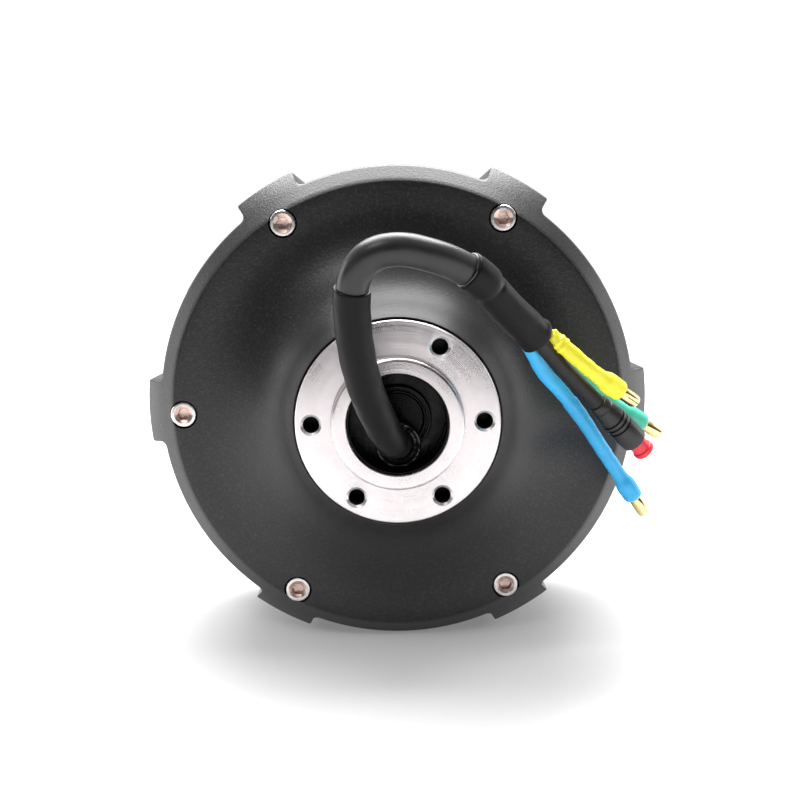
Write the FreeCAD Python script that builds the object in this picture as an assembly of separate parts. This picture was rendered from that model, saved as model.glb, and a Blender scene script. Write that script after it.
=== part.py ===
import FreeCAD, Part
import os
from math import acos, cos, degrees, pi, radians, sin, sqrt, tan

# Direct-drive hub motor for an electric scooter wheel, in millimetres.
# The wheel axis is Y. The fork flange faces -Y and its face centre is the origin, with +Z up.
# The flange, shaft and windings stay still. The covers, ring and magnets turn round them.

V = FreeCAD.Vector
ORIGIN = V(0, 0, 0)
AXIS = V(0, 1, 0)
OUT_DIR = "parts"

# Outside of the rotor
lug_count = 6
ring_r = 64.5
lug_height = 4.5
lug_half_angle = 7.3
lug_root_fillet = 1.7
ring_length = 34.5
cover_parting_y = 31.5
back_plate_thickness = 8.0

# Dished face of the front cover
rim_band = 4.5
crest_width = 6.0
crest_y = 21.0
dish_depth = 18.5
rim_edge_height = 1.05
lip_y = 1.2
lip_width = 1.2
lip_chamfer = 0.3
cover_wall = 5.5
housing_back_lip = 1.8
housing_root = 2.0
register_root = 3.0

# Fork flange, spigot and cable bore of the fixed shaft
flange_r = 25.5
flange_thickness = 10.5
flange_edge = 0.5
spigot_r = 16.5
spigot_height = 2.8
spigot_edge = 0.6
bore_r = 12.6
bore_depth = 30.0
bolt_circle_r = 21.5
bolt_count = 6
bolt_hole_r = 2.1
bolt_hole_depth = 9.0
bolt_chamfer = 0.45
flange_gap = 0.6

# Bearings: bore radius, outer radius, width, ball radius, number of balls
front_bearing = {"bore": 17.5, "outer": 27.5, "width": 10.0, "ball": 2.78, "balls": 13}
rear_bearing = {"bore": 10.0, "outer": 21.0, "width": 12.0, "ball": 3.17, "balls": 9}
bearing_shoulder = 3.0
groove_clearance = 0.12
race_land = 0.75
cage_thickness = 1.6
cage_clearance = 0.06
seal_thickness = 0.5
seal_inset = 0.3
seal_gap = 0.12
front_bearing_y = 12.5
housing_wall = 4.5

# Shaft behind the front bearing
hub_seat_r = 15.0
hub_seat_y = 30.0
rear_shoulder_y = 58.0
shaft_end_gap = 0.8
key_width = 5.0
key_height = 5.0
key_length = 20.0
key_y = 34.0
key_sunk = 3.0
clip_thickness = 1.0
clip_depth = 0.7
clip_height = 3.0
clip_gap_half_angle = 20.0
wire_window_width = 12.0
wire_window_length = 5.0
wire_window_y = 24.0
potting_y = 8.0

# Stator
core_y = 39.0
core_length = 24.0
core_depth = 20.2
slot_count = 24
tooth_share = 0.5
yoke_thickness = 4.3
shoe_height = 1.6
shoe_taper = 0.8
slot_opening = 2.6
insulator_thickness = 1.5
stator_rim_thickness = 3.2
stator_boss_thickness = 5.0
stator_web_thickness = 6.0
web_window_count = 6
web_window_share = 0.32
web_offset = 4.0
hub_lip = 1.0
boss_taper = 1.5
coil_gap = 0.2
coil_clearance = 0.2
coil_end = 3.8
coil_root_gap = 1.9
coil_shoe_gap = 1.6
coil_corner = 2.0
coil_inner_corner = 0.3
air_gap = 0.6

# Magnet rotor
magnet_count = 28
magnet_thickness = 3.0
magnet_fill = 0.9
ring_wall = 4.5
flux_ring_thickness = 4.0
flux_ring_length = 26.0
ring_shoulder_width = 6.0
ring_shoulder_length = 6.5
register_length = 2.0
register_wall = 2.0
register_fit = 0.05
seal_ring_section = 0.9

# Hall sensor board
board_width = 10.4
board_inset = 2.0
board_thickness = 1.6
board_gap_to_coil = 1.5
board_half_angle = 50.0
sensor_count = 3
sensor_width = 2.3
sensor_thickness = 1.5
sensor_reach = 9.5
sensor_leg = 0.6
sensor_body = 3.5
sensor_inset = 4.0
post_r = 1.0
post_inset = 3.8
post_arm_overlap = 2.0
post_arm_thickness = 1.2

# Cap screws, M4 x 12
screw_shank_r = 1.97
screw_hole_r = 2.15
tapped_hole_r = 2.0
screw_length = 12.0
head_r = 3.5
head_height = 4.0
head_pocket_r = 3.8
hex_across = 3.0
hex_depth = 2.2
screw_from_crest = 3.5
head_chamfer = 0.35
front_seat_y = 25.2
rear_screw_inset = 0.25
tapped_extra = 1.0

# Back cover
back_edge = 1.2
back_dish_depth = 1.0
back_dish_inner_r = 30.0
back_dish_edge = 10.5
back_dish_slope = 1.5
back_boss_height = 1.6
back_boss_slope = 2.0
pocket_wall = 4.5
back_inner_y = 70.0
wave_washer_height = 1.2
wave_washer_width = 2.6
back_recess_step = 1.0
back_register_wall = 3.5
pocket_front = 0.5
seal_stand_off = 0.2
seal_shoulder_gap = 0.1
cage_lip = 0.4
cage_front_gap = 1.2
clip_from_shoulder = 0.8

# Cable and leads
cable_r = 3.6
cable_exit_x = 0.0
cable_exit_z = -6.2
collar_r = 5.8
collar_front_y = 3.0
shelf_r = 7.9
shelf_wall = 2.4
shelf_front_y = 5.6
sleeve_wall = 0.75
upper_sleeve_r = 4.6
wire_r = 1.3
sensor_lead_r = 1.6
shrink_wall = 0.6
shrink_step = 1.5
barrel_r = 1.95
barrel_length = 4.5
pin_r = 1.65
pin_length = 6.0
pin_tip = 0.6
pin_tip_slope = 0.6
pin_slit = 0.35
pin_slit_start = 1.2
connector_r = 2.3
connector_end_r = 2.9
connector_length = 15.0
connector_slope_share = 0.35
first_groove = 0.6
groove_count = 3
groove_width = 0.6
groove_pitch = 1.3
groove_depth = 0.4
cap_r = 2.3
cap_length = 4.2

# Values that follow from the sizes above
lug_r = ring_r + lug_height
crest_outer_r = ring_r - rim_band
crest_inner_r = crest_outer_r - crest_width
lip_r = flange_r + flange_gap + lip_width
dish_r = ((crest_inner_r - lip_r)**2 + dish_depth**2) / (2 * dish_depth)
rim_slope = (cover_parting_y - rim_edge_height - crest_y) / (lug_r - crest_outer_r)
front_screw_r = crest_inner_r + screw_from_crest
rear_screw_r = ring_r - rear_screw_inset
back_dish_outer_r = ring_r - back_dish_edge
front_seat_r = front_bearing["outer"]
ring_end_y = cover_parting_y + ring_length
back_face_y = ring_end_y + back_plate_thickness
rear_stub_end_y = rear_shoulder_y + rear_bearing["width"] + shaft_end_gap
pocket_floor_y = rear_shoulder_y + rear_bearing["width"] + wave_washer_height
shoulder_y = cover_parting_y + ring_shoulder_length
core_end_y = core_y + core_length
coil_front_y = core_y - insulator_thickness - coil_gap - coil_end
coil_back_y = core_end_y + insulator_thickness + coil_gap + coil_end
flux_outer_r = ring_r - ring_wall
flux_inner_r = flux_outer_r - flux_ring_thickness
magnet_inner_r = flux_inner_r - magnet_thickness
core_r = magnet_inner_r - air_gap
core_bore_r = core_r - core_depth
ring_shoulder_r = flux_outer_r - ring_shoulder_width
back_recess_r = ring_shoulder_r - back_recess_step
coil_inner_r = core_bore_r + yoke_thickness + coil_root_gap
coil_outer_r = core_r - shoe_height - coil_shoe_gap
coil_pitch = 2 * pi * coil_inner_r / slot_count
tooth_width = tooth_share * coil_pitch
coil_side = (coil_pitch - tooth_width) / 2 - coil_gap - coil_clearance
board_outer_r = core_r - board_inset
board_inner_r = board_outer_r - board_width
sensor_r = core_r - sensor_inset
post_at_r = core_bore_r + post_inset
board_y = coil_front_y - board_gap_to_coil - board_thickness


def point(r, y, angle=0.0):
    a = radians(angle)
    return V(r * cos(a), y, r * sin(a))


def turned_about_axis(shape, angle):
    copy = shape.copy()
    copy.rotate(ORIGIN, -AXIS, angle)
    return copy


def around(shape, count, start=0.0):
    return [turned_about_axis(shape, start + 360.0 * i / count) for i in range(count)]


def cylinder(r, y0, y1, x=0.0, z=0.0):
    return Part.makeCylinder(r, y1 - y0, V(x, y0, z), AXIS)


def annulus(outer, inner, y0, y1):
    return cylinder(outer, y0, y1).cut(cylinder(inner, y0, y1))


def revolved(corners, arcs=None):
    """Turn a closed outline of (radius, y) corners about the axis. arcs maps a corner's index to
    the point that the side after it passes through."""
    arcs = arcs or {}
    spots = [V(r, y, 0) for r, y in corners]
    edges = []
    for i, start in enumerate(spots):
        end = spots[(i + 1) % len(spots)]
        if i in arcs:
            middle = V(arcs[i][0], arcs[i][1], 0)
            edges.append(Part.Arc(start, middle, end).toShape())
        else:
            edges.append(Part.makeLine(start, end))
    face = Part.Face(Part.Wire(edges))
    return face.revolve(ORIGIN, AXIS, 360)


def sector(inner, outer, half_angle, y0, y1, middle=0.0):
    """Solid between two radii and two radial planes."""
    low = [point(inner, y0, middle + s * half_angle) for s in (-1, 1)]
    high = [point(outer, y0, middle + s * half_angle) for s in (1, -1)]
    edges = [
        Part.Arc(low[0], point(inner, y0, middle), low[1]).toShape(),
        Part.makeLine(low[1], high[0]),
        Part.Arc(high[0], point(outer, y0, middle), high[1]).toShape(),
        Part.makeLine(high[1], low[0]),
    ]
    return Part.Face(Part.Wire(edges)).extrude(V(0, y1 - y0, 0))


def box(r0, r1, width, y0, y1):
    """Box on the +X side from r0 to r1, as wide as stated across Z."""
    return Part.makeBox(r1 - r0, y1 - y0, width, V(r0, y0, -width / 2))


def polygon_prism(corners, y0, y1):
    spots = [V(x, y0, z) for x, z in corners]
    wire = Part.makePolygon(spots + spots[:1])
    return Part.Face(wire).extrude(V(0, y1 - y0, 0))


def solid_of(shape):
    return shape.Solids[0]


def save(name, shapes):
    shapes = shapes if isinstance(shapes, list) else [shapes]
    solids = [s for shape in shapes for s in shape.Solids]
    for s in solids:
        if not s.isValid():
            print("not valid:", name)
    body = solids[0] if len(solids) == 1 else Part.makeCompound(solids)
    body.exportStep(os.path.join(OUT_DIR, name + ".step"))
    volume = sum(s.Volume for s in solids)
    print(f"{name}: {len(solids)} solids, {volume:.1f} mm3")


def lug_outline(y0, y1):
    """Disc with the six drive lugs that key the tyre's rim, their roots rounded."""
    body = cylinder(ring_r, y0, y1)
    body = body.fuse(around(sector(ring_r * 0.8, lug_r, lug_half_angle, y0, y1), lug_count))
    body = body.removeSplitter()
    roots = []
    for edge in body.Edges:
        a, b = edge.Vertexes[0].Point, edge.Vertexes[-1].Point
        r = sqrt(a.x**2 + a.z**2)
        if abs(a.x - b.x) < 1e-6 and abs(a.z - b.z) < 1e-6 and abs(r - ring_r) < 1e-3:
            roots.append(edge)
    return solid_of(body.makeFillet(lug_root_fillet, roots))


def dish_arc_middle(r0, y0, r1, y1):
    """Point halfway along the dish's arc, whose centre is dish_r in front of the crest's edge."""
    centre = V(crest_inner_r, crest_y - dish_r, 0)
    way = V(r0, y0, 0).add(V(r1, y1, 0)).multiply(0.5).sub(centre)
    way.normalize()
    middle = centre.add(way.multiply(dish_r))
    return middle.x, middle.y


def front_cover():
    lip_inner_r = flange_r + flange_gap
    edge_y = crest_y + rim_slope * (lug_r - crest_outer_r)
    start_y = crest_y - dish_depth
    register_r = ring_shoulder_r - register_fit
    seat_end_y = front_bearing_y + front_bearing["width"]
    housing_r = front_seat_r + housing_wall
    housing_end_y = seat_end_y + housing_back_lip
    inner_y = crest_y + cover_wall
    register_y = cover_parting_y + register_length
    corners = [
        (lip_inner_r, lip_y),
        (lip_r - lip_chamfer, lip_y),
        (lip_r, start_y),
        (crest_inner_r, crest_y),
        (crest_outer_r, crest_y),
        (lug_r + 0.2, edge_y + rim_slope * 0.2),
        (lug_r + 0.2, cover_parting_y),
        (register_r, cover_parting_y),
        (register_r, register_y),
        (register_r - register_wall, register_y),
        (register_r - register_wall, cover_parting_y - register_length),
        (register_r - register_wall - register_root, inner_y),
        (housing_r + housing_root, inner_y),
        (housing_r, housing_end_y),
        (front_seat_r, housing_end_y),
        (front_seat_r, front_bearing_y),
        (lip_inner_r, front_bearing_y),
    ]
    middle = dish_arc_middle(lip_r, start_y, crest_inner_r, crest_y)
    body = revolved(corners, {2: middle})
    body = body.common(lug_outline(lip_y - 1.0, register_y + 1.0))
    for i in range(lug_count):
        angle = 360.0 * i / lug_count
        x, z = front_screw_r * cos(radians(angle)), front_screw_r * sin(radians(angle))
        body = body.cut(cylinder(screw_hole_r, crest_y - 1, cover_parting_y + 1, x, z))
        body = body.cut(cylinder(head_pocket_r, crest_y - 1, front_seat_y, x, z))
    groove_y = cover_parting_y + (register_length - seal_ring_section) / 2
    groove = annulus(register_r + 1, ring_shoulder_r - seal_ring_section,
                     groove_y, groove_y + seal_ring_section)
    return solid_of(body.cut(groove))


def front_seal_ring():
    y0 = cover_parting_y + (register_length - seal_ring_section) / 2
    return annulus(ring_shoulder_r, ring_shoulder_r - seal_ring_section, y0, y0 + seal_ring_section)


def rotor_ring():
    body = lug_outline(cover_parting_y, ring_end_y)
    body = body.cut(cylinder(ring_shoulder_r, cover_parting_y - 1, shoulder_y + 1))
    body = body.cut(cylinder(flux_outer_r, shoulder_y, ring_end_y + 1))
    front_depth = front_seat_y + screw_length + tapped_extra
    rear_depth = back_face_y - head_height - screw_length - tapped_extra
    for i in range(lug_count):
        a = radians(360.0 * i / lug_count)
        body = body.cut(cylinder(tapped_hole_r, cover_parting_y - 1, front_depth,
                                 front_screw_r * cos(a), front_screw_r * sin(a)))
        body = body.cut(cylinder(tapped_hole_r, rear_depth, ring_end_y + 1,
                                 rear_screw_r * cos(a), rear_screw_r * sin(a)))
    return solid_of(body)


def back_cover():
    register_r = flux_outer_r - register_fit
    register_y = shoulder_y + flux_ring_length
    pocket_r = rear_bearing["outer"]
    pocket_y = rear_shoulder_y - pocket_front
    boss_r = pocket_r + pocket_wall
    dish_y = back_face_y - back_dish_depth
    boss_y = back_face_y + back_boss_height
    corners = [
        (0, pocket_floor_y),
        (pocket_r, pocket_floor_y),
        (pocket_r, pocket_y),
        (boss_r, pocket_y),
        (boss_r, back_inner_y),
        (back_recess_r, back_inner_y),
        (back_recess_r, ring_end_y),
        (register_r - back_register_wall, ring_end_y),
        (register_r - back_register_wall, register_y),
        (register_r, register_y),
        (register_r, ring_end_y),
        (lug_r + 1, ring_end_y),
        (lug_r + 1, back_face_y - back_edge - 1),
        (lug_r, back_face_y - back_edge),
        (lug_r - back_edge, back_face_y),
        (back_dish_outer_r, back_face_y),
        (back_dish_outer_r - back_dish_slope, dish_y),
        (back_dish_inner_r, dish_y),
        (back_dish_inner_r - back_boss_slope, boss_y),
        (0, boss_y),
    ]
    body = revolved(corners)
    body = body.common(lug_outline(pocket_y - 1, boss_y + 1))
    for i in range(lug_count):
        a = radians(360.0 * i / lug_count)
        x, z = rear_screw_r * cos(a), rear_screw_r * sin(a)
        body = body.cut(cylinder(screw_hole_r, ring_end_y - 1, back_face_y + 1, x, z))
        body = body.cut(cylinder(head_pocket_r, back_face_y - head_height, back_face_y + 1, x, z))
    groove_y = ring_end_y - register_length + (register_length - seal_ring_section) / 2
    groove = annulus(register_r + 1, flux_outer_r - seal_ring_section,
                     groove_y, groove_y + seal_ring_section)
    return solid_of(body.cut(groove))


def rear_seal_ring():
    y0 = ring_end_y - register_length + (register_length - seal_ring_section) / 2
    return annulus(flux_outer_r, flux_outer_r - seal_ring_section, y0, y0 + seal_ring_section)


def flux_ring():
    return annulus(flux_outer_r, flux_inner_r, shoulder_y, shoulder_y + flux_ring_length)


def magnets():
    half = magnet_fill * 180.0 / magnet_count
    margin = (flux_ring_length - core_length) / 2
    one = sector(magnet_inner_r, flux_inner_r, half, shoulder_y + margin,
                 shoulder_y + margin + core_length)
    return around(one, magnet_count)


def cap_screw(seat, toward):
    """Socket head cap screw: its head stands on the seat and its shank runs the way it points."""
    head = Part.makeCylinder(head_r, head_height, seat, -toward)
    rim = [e for e in head.Edges if e.BoundBox.YLength < 1e-6
           and abs((e.CenterOfMass - seat).Length - head_height) < 1e-3]
    head = head.makeChamfer(head_chamfer, rim)
    shank = Part.makeCylinder(screw_shank_r, screw_length, seat, toward)
    corner_r = hex_across / sqrt(3)
    top = seat - toward * head_height
    spots = [top + V(corner_r * cos(k * pi / 3), 0, corner_r * sin(k * pi / 3)) for k in range(6)]
    socket = Part.Face(Part.makePolygon(spots + spots[:1])).extrude(toward * hex_depth)
    return solid_of(head.fuse(shank).removeSplitter().cut(socket))


def cover_screws(radius, seat_y, toward):
    return [cap_screw(point(radius, seat_y, 360.0 * i / lug_count), toward)
            for i in range(lug_count)]


def race_lands(bearing):
    """Radii where the inner race ends and the outer race starts."""
    middle = (bearing["bore"] + bearing["outer"]) / 2
    return middle - bearing["ball"] * race_land, middle + bearing["ball"] * race_land


def race(bearing, y0, side):
    middle_r = (bearing["bore"] + bearing["outer"]) / 2
    middle_y = y0 + bearing["width"] / 2
    groove_r = bearing["ball"] + groove_clearance
    land = race_lands(bearing)[0 if side < 0 else 1]
    back = bearing["bore"] if side < 0 else bearing["outer"]
    half = sqrt(groove_r**2 - (land - middle_r)**2)
    corners = [
        (back, y0),
        (land, y0),
        (land, middle_y - half),
        (land, middle_y + half),
        (land, y0 + bearing["width"]),
        (back, y0 + bearing["width"]),
    ]
    return solid_of(revolved(corners, {2: (middle_r + side * groove_r, middle_y)}))


def balls(bearing, y0):
    middle_r = (bearing["bore"] + bearing["outer"]) / 2
    one = Part.makeSphere(bearing["ball"], V(middle_r, y0 + bearing["width"] / 2, 0))
    return around(one, bearing["balls"])


def cage(bearing, y0):
    middle_r = (bearing["bore"] + bearing["outer"]) / 2
    middle_y = y0 + bearing["width"] / 2
    half = bearing["ball"] + cage_lip
    body = annulus(middle_r + cage_thickness / 2, middle_r - cage_thickness / 2,
                   middle_y - half + cage_front_gap, middle_y + half)
    reach = bearing["ball"] + cage_clearance
    pocket = Part.makeCylinder(reach, cage_thickness * 4,
                               V(middle_r - cage_thickness * 2, middle_y, 0), V(1, 0, 0))
    for hole in around(pocket, bearing["balls"]):
        body = body.cut(hole)
    return solid_of(body)


def bearing_seals(bearing, y0):
    inner, outer = race_lands(bearing)
    first = annulus(outer, inner + seal_gap, y0 + seal_inset, y0 + seal_inset + seal_thickness)
    second = first.copy()
    second.translate(V(0, bearing["width"] - 2 * seal_inset - seal_thickness, 0))
    return [first, second]


def front_shaft_seal():
    y0 = flange_thickness + seal_stand_off
    inner = front_bearing["bore"] + bearing_shoulder + seal_shoulder_gap
    return annulus(flange_r + flange_gap, inner, y0, front_bearing_y - seal_stand_off)


def wave_washer():
    y0 = rear_shoulder_y + rear_bearing["width"]
    outer = rear_bearing["outer"] - seal_stand_off
    return annulus(outer, outer - wave_washer_width, y0, pocket_floor_y)


def flange_shaft():
    shoulder_r = front_bearing["bore"] + bearing_shoulder
    corners = [
        (0, bore_depth),
        (bore_r, bore_depth),
        (bore_r, -spigot_height),
        (spigot_r - spigot_edge, -spigot_height),
        (spigot_r, -spigot_height + spigot_edge),
        (spigot_r, 0),
        (flange_r - flange_edge, 0),
        (flange_r, flange_edge),
        (flange_r, flange_thickness),
        (shoulder_r, flange_thickness),
        (shoulder_r, front_bearing_y),
        (front_bearing["bore"], front_bearing_y),
        (front_bearing["bore"], hub_seat_y),
        (hub_seat_r, hub_seat_y),
        (hub_seat_r, rear_shoulder_y),
        (rear_bearing["bore"], rear_shoulder_y),
        (rear_bearing["bore"], rear_stub_end_y),
        (0, rear_stub_end_y),
    ]
    body = revolved(corners)
    for i in range(bolt_count):
        a = radians(360.0 * i / bolt_count)
        x, z = bolt_circle_r * cos(a), bolt_circle_r * sin(a)
        body = body.cut(cylinder(bolt_hole_r, -1, bolt_hole_depth, x, z))
        mouth = Part.makeCone(bolt_hole_r + bolt_chamfer, bolt_hole_r, bolt_chamfer, V(x, 0, z), AXIS)
        body = body.cut(mouth)
    body = body.cut(key_box())
    clip_y = stator_hub_end_y()
    body = body.cut(annulus(hub_seat_r + 1, hub_seat_r - clip_depth, clip_y, clip_y + clip_thickness))
    return solid_of(body.cut(wire_window()))


def stator_hub_end_y():
    return rear_shoulder_y - clip_thickness - clip_from_shoulder


def wire_window():
    return Part.makeBox(wire_window_width, wire_window_length, front_bearing["bore"] + 1,
                        V(-wire_window_width / 2, wire_window_y, -front_bearing["bore"] - 1))


def key_box():
    base = hub_seat_r - key_sunk
    return Part.makeBox(key_width, key_length, key_height, V(-key_width / 2, key_y, base))


def hub_circlip():
    y0 = stator_hub_end_y()
    ring = annulus(hub_seat_r + clip_height - clip_depth, hub_seat_r - clip_depth,
                   y0, y0 + clip_thickness)
    gap = sector(hub_seat_r - clip_depth - 1, hub_seat_r + clip_height, clip_gap_half_angle,
                 y0 - 1, y0 + clip_thickness + 1, 90)
    return solid_of(ring.cut(gap))


def stator_hub():
    rim_inner = core_bore_r - stator_rim_thickness
    boss_r = hub_seat_r + stator_boss_thickness
    web_y = core_y + web_offset
    web_end_y = web_y + stator_web_thickness
    corners = [
        (hub_seat_r, hub_seat_y),
        (boss_r, hub_seat_y),
        (boss_r, web_y),
        (rim_inner, web_y),
        (rim_inner, core_y - hub_lip),
        (core_bore_r, core_y - hub_lip),
        (core_bore_r, core_end_y + hub_lip),
        (rim_inner, core_end_y + hub_lip),
        (rim_inner, web_end_y),
        (boss_r, web_end_y),
        (boss_r - boss_taper, stator_hub_end_y()),
        (hub_seat_r, stator_hub_end_y()),
    ]
    body = revolved(corners)
    window_r = web_window_share * (rim_inner - boss_r)
    window = cylinder(window_r, web_y - 1, web_end_y + 1, (boss_r + rim_inner) / 2, 0)
    for hole in around(window, web_window_count):
        body = body.cut(hole)
    return solid_of(body.cut(key_box()))


def slot_shape(y0, y1):
    """One winding slot between two teeth: parallel tooth sides, yoke behind, shoes at the air gap."""
    pitch = 2 * pi / slot_count
    root_r = core_bore_r + yoke_thickness
    shoe_r = core_r - shoe_height
    half_tooth = tooth_width / 2

    def beside_tooth(r):
        a = pitch / 2
        along = sqrt(r**2 - half_tooth**2)
        return along * cos(a) + half_tooth * sin(a), along * sin(a) - half_tooth * cos(a)

    low, high = beside_tooth(root_r), beside_tooth(shoe_r - shoe_taper)
    half_open = slot_opening / 2
    side = [low, high, (shoe_r, half_open), (core_r + 1, half_open)]
    corners = side + [(x, -z) for x, z in reversed(side)]
    return polygon_prism(corners, y0, y1)


def toothed_plate(y0, y1):
    body = annulus(core_r, core_bore_r, y0, y1)
    slots = around(slot_shape(y0 - 1, y1 + 1), slot_count, 180.0 / slot_count)
    return solid_of(body.cut(Part.makeCompound(slots)))


def stator_core():
    return toothed_plate(core_y, core_end_y)


def insulator(y0):
    return toothed_plate(y0, y0 + insulator_thickness)


def coil_outline(half_width, y0, y1, corner):
    c = corner
    return [
        (half_width, y0 + c), (half_width, y1 - c), (half_width - c, y1), (c - half_width, y1),
        (-half_width, y1 - c), (-half_width, y0 + c), (c - half_width, y0), (half_width - c, y0),
    ]


def coil_prism(half_width, y0, y1, corner):
    spots = [V(coil_inner_r, y, z) for z, y in coil_outline(half_width, y0, y1, corner)]
    face = Part.Face(Part.makePolygon(spots + spots[:1]))
    return face.extrude(V(coil_outer_r - coil_inner_r, 0, 0))


def coils():
    half = tooth_width / 2 + coil_gap
    outer = coil_prism(half + coil_side, coil_front_y, coil_back_y, coil_corner)
    inner = coil_prism(half, coil_front_y + coil_end, coil_back_y - coil_end, coil_inner_corner)
    return around(solid_of(outer.cut(inner)), slot_count)


def sensor_angle(k):
    """Slots at the bottom of the stator hold the three sensors, one slot apart."""
    pitch = 360.0 / slot_count
    return -90.0 + pitch / 2 + (k - 1) * pitch


def hall_board():
    return sector(board_inner_r, board_outer_r, board_half_angle, board_y,
                  board_y + board_thickness, -90.0)


def hall_sensors():
    made = []
    start = board_y + board_thickness
    for k in range(sensor_count):
        legs = box(sensor_r - sensor_leg / 2, sensor_r + sensor_leg / 2, sensor_width - sensor_leg,
                   start, start + sensor_reach)
        body = box(sensor_r - sensor_thickness / 2, sensor_r + sensor_thickness / 2, sensor_width,
                   start + sensor_reach - sensor_body, start + sensor_reach)
        made.append(turned_about_axis(solid_of(legs.fuse(body)), sensor_angle(k)))
    return made


def board_posts():
    """Three legs of the front insulator that carry the sensor board, between the coils."""
    posts = []
    pitch = 360.0 / slot_count
    for k in (-2, 0, 2):
        angle = -90.0 + k * pitch
        start = board_y + board_thickness
        post = cylinder(post_r, start, core_y - insulator_thickness, post_at_r, 0)
        arm = box(post_at_r - post_r, board_inner_r + post_arm_overlap, 2 * post_r,
                  start, start + post_arm_thickness)
        posts.append(turned_about_axis(post.fuse(arm), angle))
    return posts


def bore_potting():
    """Resin and shelf ring that close the bore round the cable, and fill the wire window."""
    fill = cylinder(bore_r, potting_y, bore_depth)
    shelf = annulus(shelf_r, shelf_r - shelf_wall, shelf_front_y, potting_y)
    window = wire_window().common(cylinder(front_bearing["bore"], 0, bore_depth))
    body = fill.fuse(shelf).fuse(window).removeSplitter()
    holes = cylinder(collar_r, shelf_front_y - 1, potting_y, cable_exit_x, cable_exit_z)
    return solid_of(body.cut(holes))


# Cord routes, with hand-chosen points from the motor outward
cable_points = [
    V(0.0, 8.0, -6.2),
    V(0.0, 1.0, -6.2),
    V(-2.4, -5.0, -2.6),
    V(-5.0, -11.4, 4.2),
    V(-7.4, -16.8, 11.6),
    V(-8.8, -21.6, 19.6),
    V(-9.4, -25.4, 28.4),
    V(-9.0, -28.4, 36.4),
    V(-5.0, -30.0, 41.4),
    V(1.6, -29.9, 42.4),
    V(8.4, -28.2, 40.6),
    V(13.2, -26.0, 38.8),
    V(18.4, -22.8, 35.8),
    V(22.2, -19.2, 31.8),
]
lower_sleeve_first_index = 2
lower_sleeve_last_index = 7
upper_sleeve_first_index = 12
before_sleeve_index = 10
upper_sleeve_points = cable_points[before_sleeve_index:] + [V(27.6, -14.8, 25.9), V(33.4, -10.0, 20.9)]
yellow_points = [
    V(24.0, -18.9, 33.3),
    V(29.2, -14.7, 27.6),
    V(35.0, -9.9, 22.6),
    V(41.2, -10.8, 16.0),
    V(46.3, -9.6, 12.0),
    V(49.7, -8.2, 9.6),
    V(52.5, -6.6, 7.4),
]
blue_points = [
    V(20.3, -18.0, 30.4),
    V(25.6, -13.8, 24.7),
    V(31.3, -9.0, 19.7),
    V(35.1, -2.4, 12.4),
    V(40.7, 2.0, 6.7),
    V(46.6, 6.0, -0.7),
    V(51.4, 8.2, -8.2),
    V(55.6, 9.6, -14.4),
    V(58.9, 10.6, -19.4),
]
green_points = [
    V(22.0, -17.2, 32.8),
    V(27.2, -13.0, 27.1),
    V(32.7, -7.8, 21.9),
    V(41.5, -0.2, 14.9),
    V(48.8, 3.4, 7.2),
    V(54.4, 6.0, 2.4),
    V(59.0, 7.3, -0.7),
]
sensor_points = [
    V(22.6, -20.4, 30.7),
    V(27.8, -16.2, 25.0),
    V(33.6, -11.4, 20.0),
    V(36.9, -7.1, 15.9),
    V(41.8, -4.6, 11.2),
    V(46.4, -2.9, 6.2),
]
# How far along its third run each coloured shrink tube starts
phase_leads = {
    "yellow": (yellow_points, 0.5),
    "blue": (blue_points, 0.5),
    "green": (green_points, 0.5),
}


def arc_at(before, corner, after):
    """Start, middle and end of the arc that rounds a corner, its radius, and the turn in degrees."""
    a = before.sub(corner)
    b = after.sub(corner)
    shorter = min(a.Length, b.Length)
    a.normalize()
    b.normalize()
    turn = pi - acos(max(-1.0, min(1.0, a.dot(b))))
    cut = 0.45 * shorter
    radius = cut / tan(turn / 2)
    bisector = a.add(b)
    bisector.normalize()
    centre = corner.add(bisector * (radius / cos(turn / 2)))
    middle = centre.sub(bisector * radius)
    return corner.add(a * cut), middle, corner.add(b * cut), radius, degrees(turn)


def route(points, first=1, last=None, share=0.0, last_share=1.0):
    """Straight runs joined by tangent arcs. The route starts at a share of the run that leads to
    point first and ends at a share of the run that leads to point last."""
    last = len(points) - 1 if last is None else last
    at = points[first - 1] + (points[first] - points[first - 1]) * share
    edges = []
    for i in range(first, last):
        into, middle, out, radius, turn = arc_at(points[i - 1], points[i], points[i + 1])
        edges.append(Part.makeLine(at, into))
        edges.append(Part.Arc(into, middle, out).toShape())
        at = out
    end = points[last - 1] + (points[last] - points[last - 1]) * last_share
    edges.append(Part.makeLine(at, end))
    return Part.Wire(edges)


def tube(path, radius, name):
    first = path.Edges[0]
    start = first.valueAt(first.FirstParameter)
    way = first.tangentAt(first.FirstParameter)
    circle = Part.Wire(Part.makeCircle(radius, start, way))
    body = path.makePipeShell([circle], True, False)
    body = body if body.ShapeType == "Solid" else body.Solids[0]
    if body.Volume < 0:
        body.reverse()
    expected = pi * radius**2 * path.Length
    print(f"{name}: length {path.Length:.1f}, volume over section times length "
          f"{body.Volume / expected:.4f}")
    return body


def print_radii(name, points, radius):
    for i in range(1, len(points) - 1):
        r, turn = arc_at(points[i - 1], points[i], points[i + 1])[3:]
        run = points[i].sub(points[i - 1]).Length
        print(f"{name} point {i}: run {run:.1f}, turn {turn:.0f}, radius {r:.1f}, "
              f"{r / (2 * radius):.1f} diameters")


def way_out(points):
    """Direction of a route's last run."""
    way = points[-1].sub(points[-2])
    way.normalize()
    return way


def along(points, radius, start, length):
    """Cylinder on the line of a route's last run, starting start past its last point."""
    way = way_out(points)
    return Part.makeCylinder(radius, length, points[-1] + way * start, way)


def main_cable():
    return tube(route(cable_points), cable_r, "main_cable")


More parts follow.
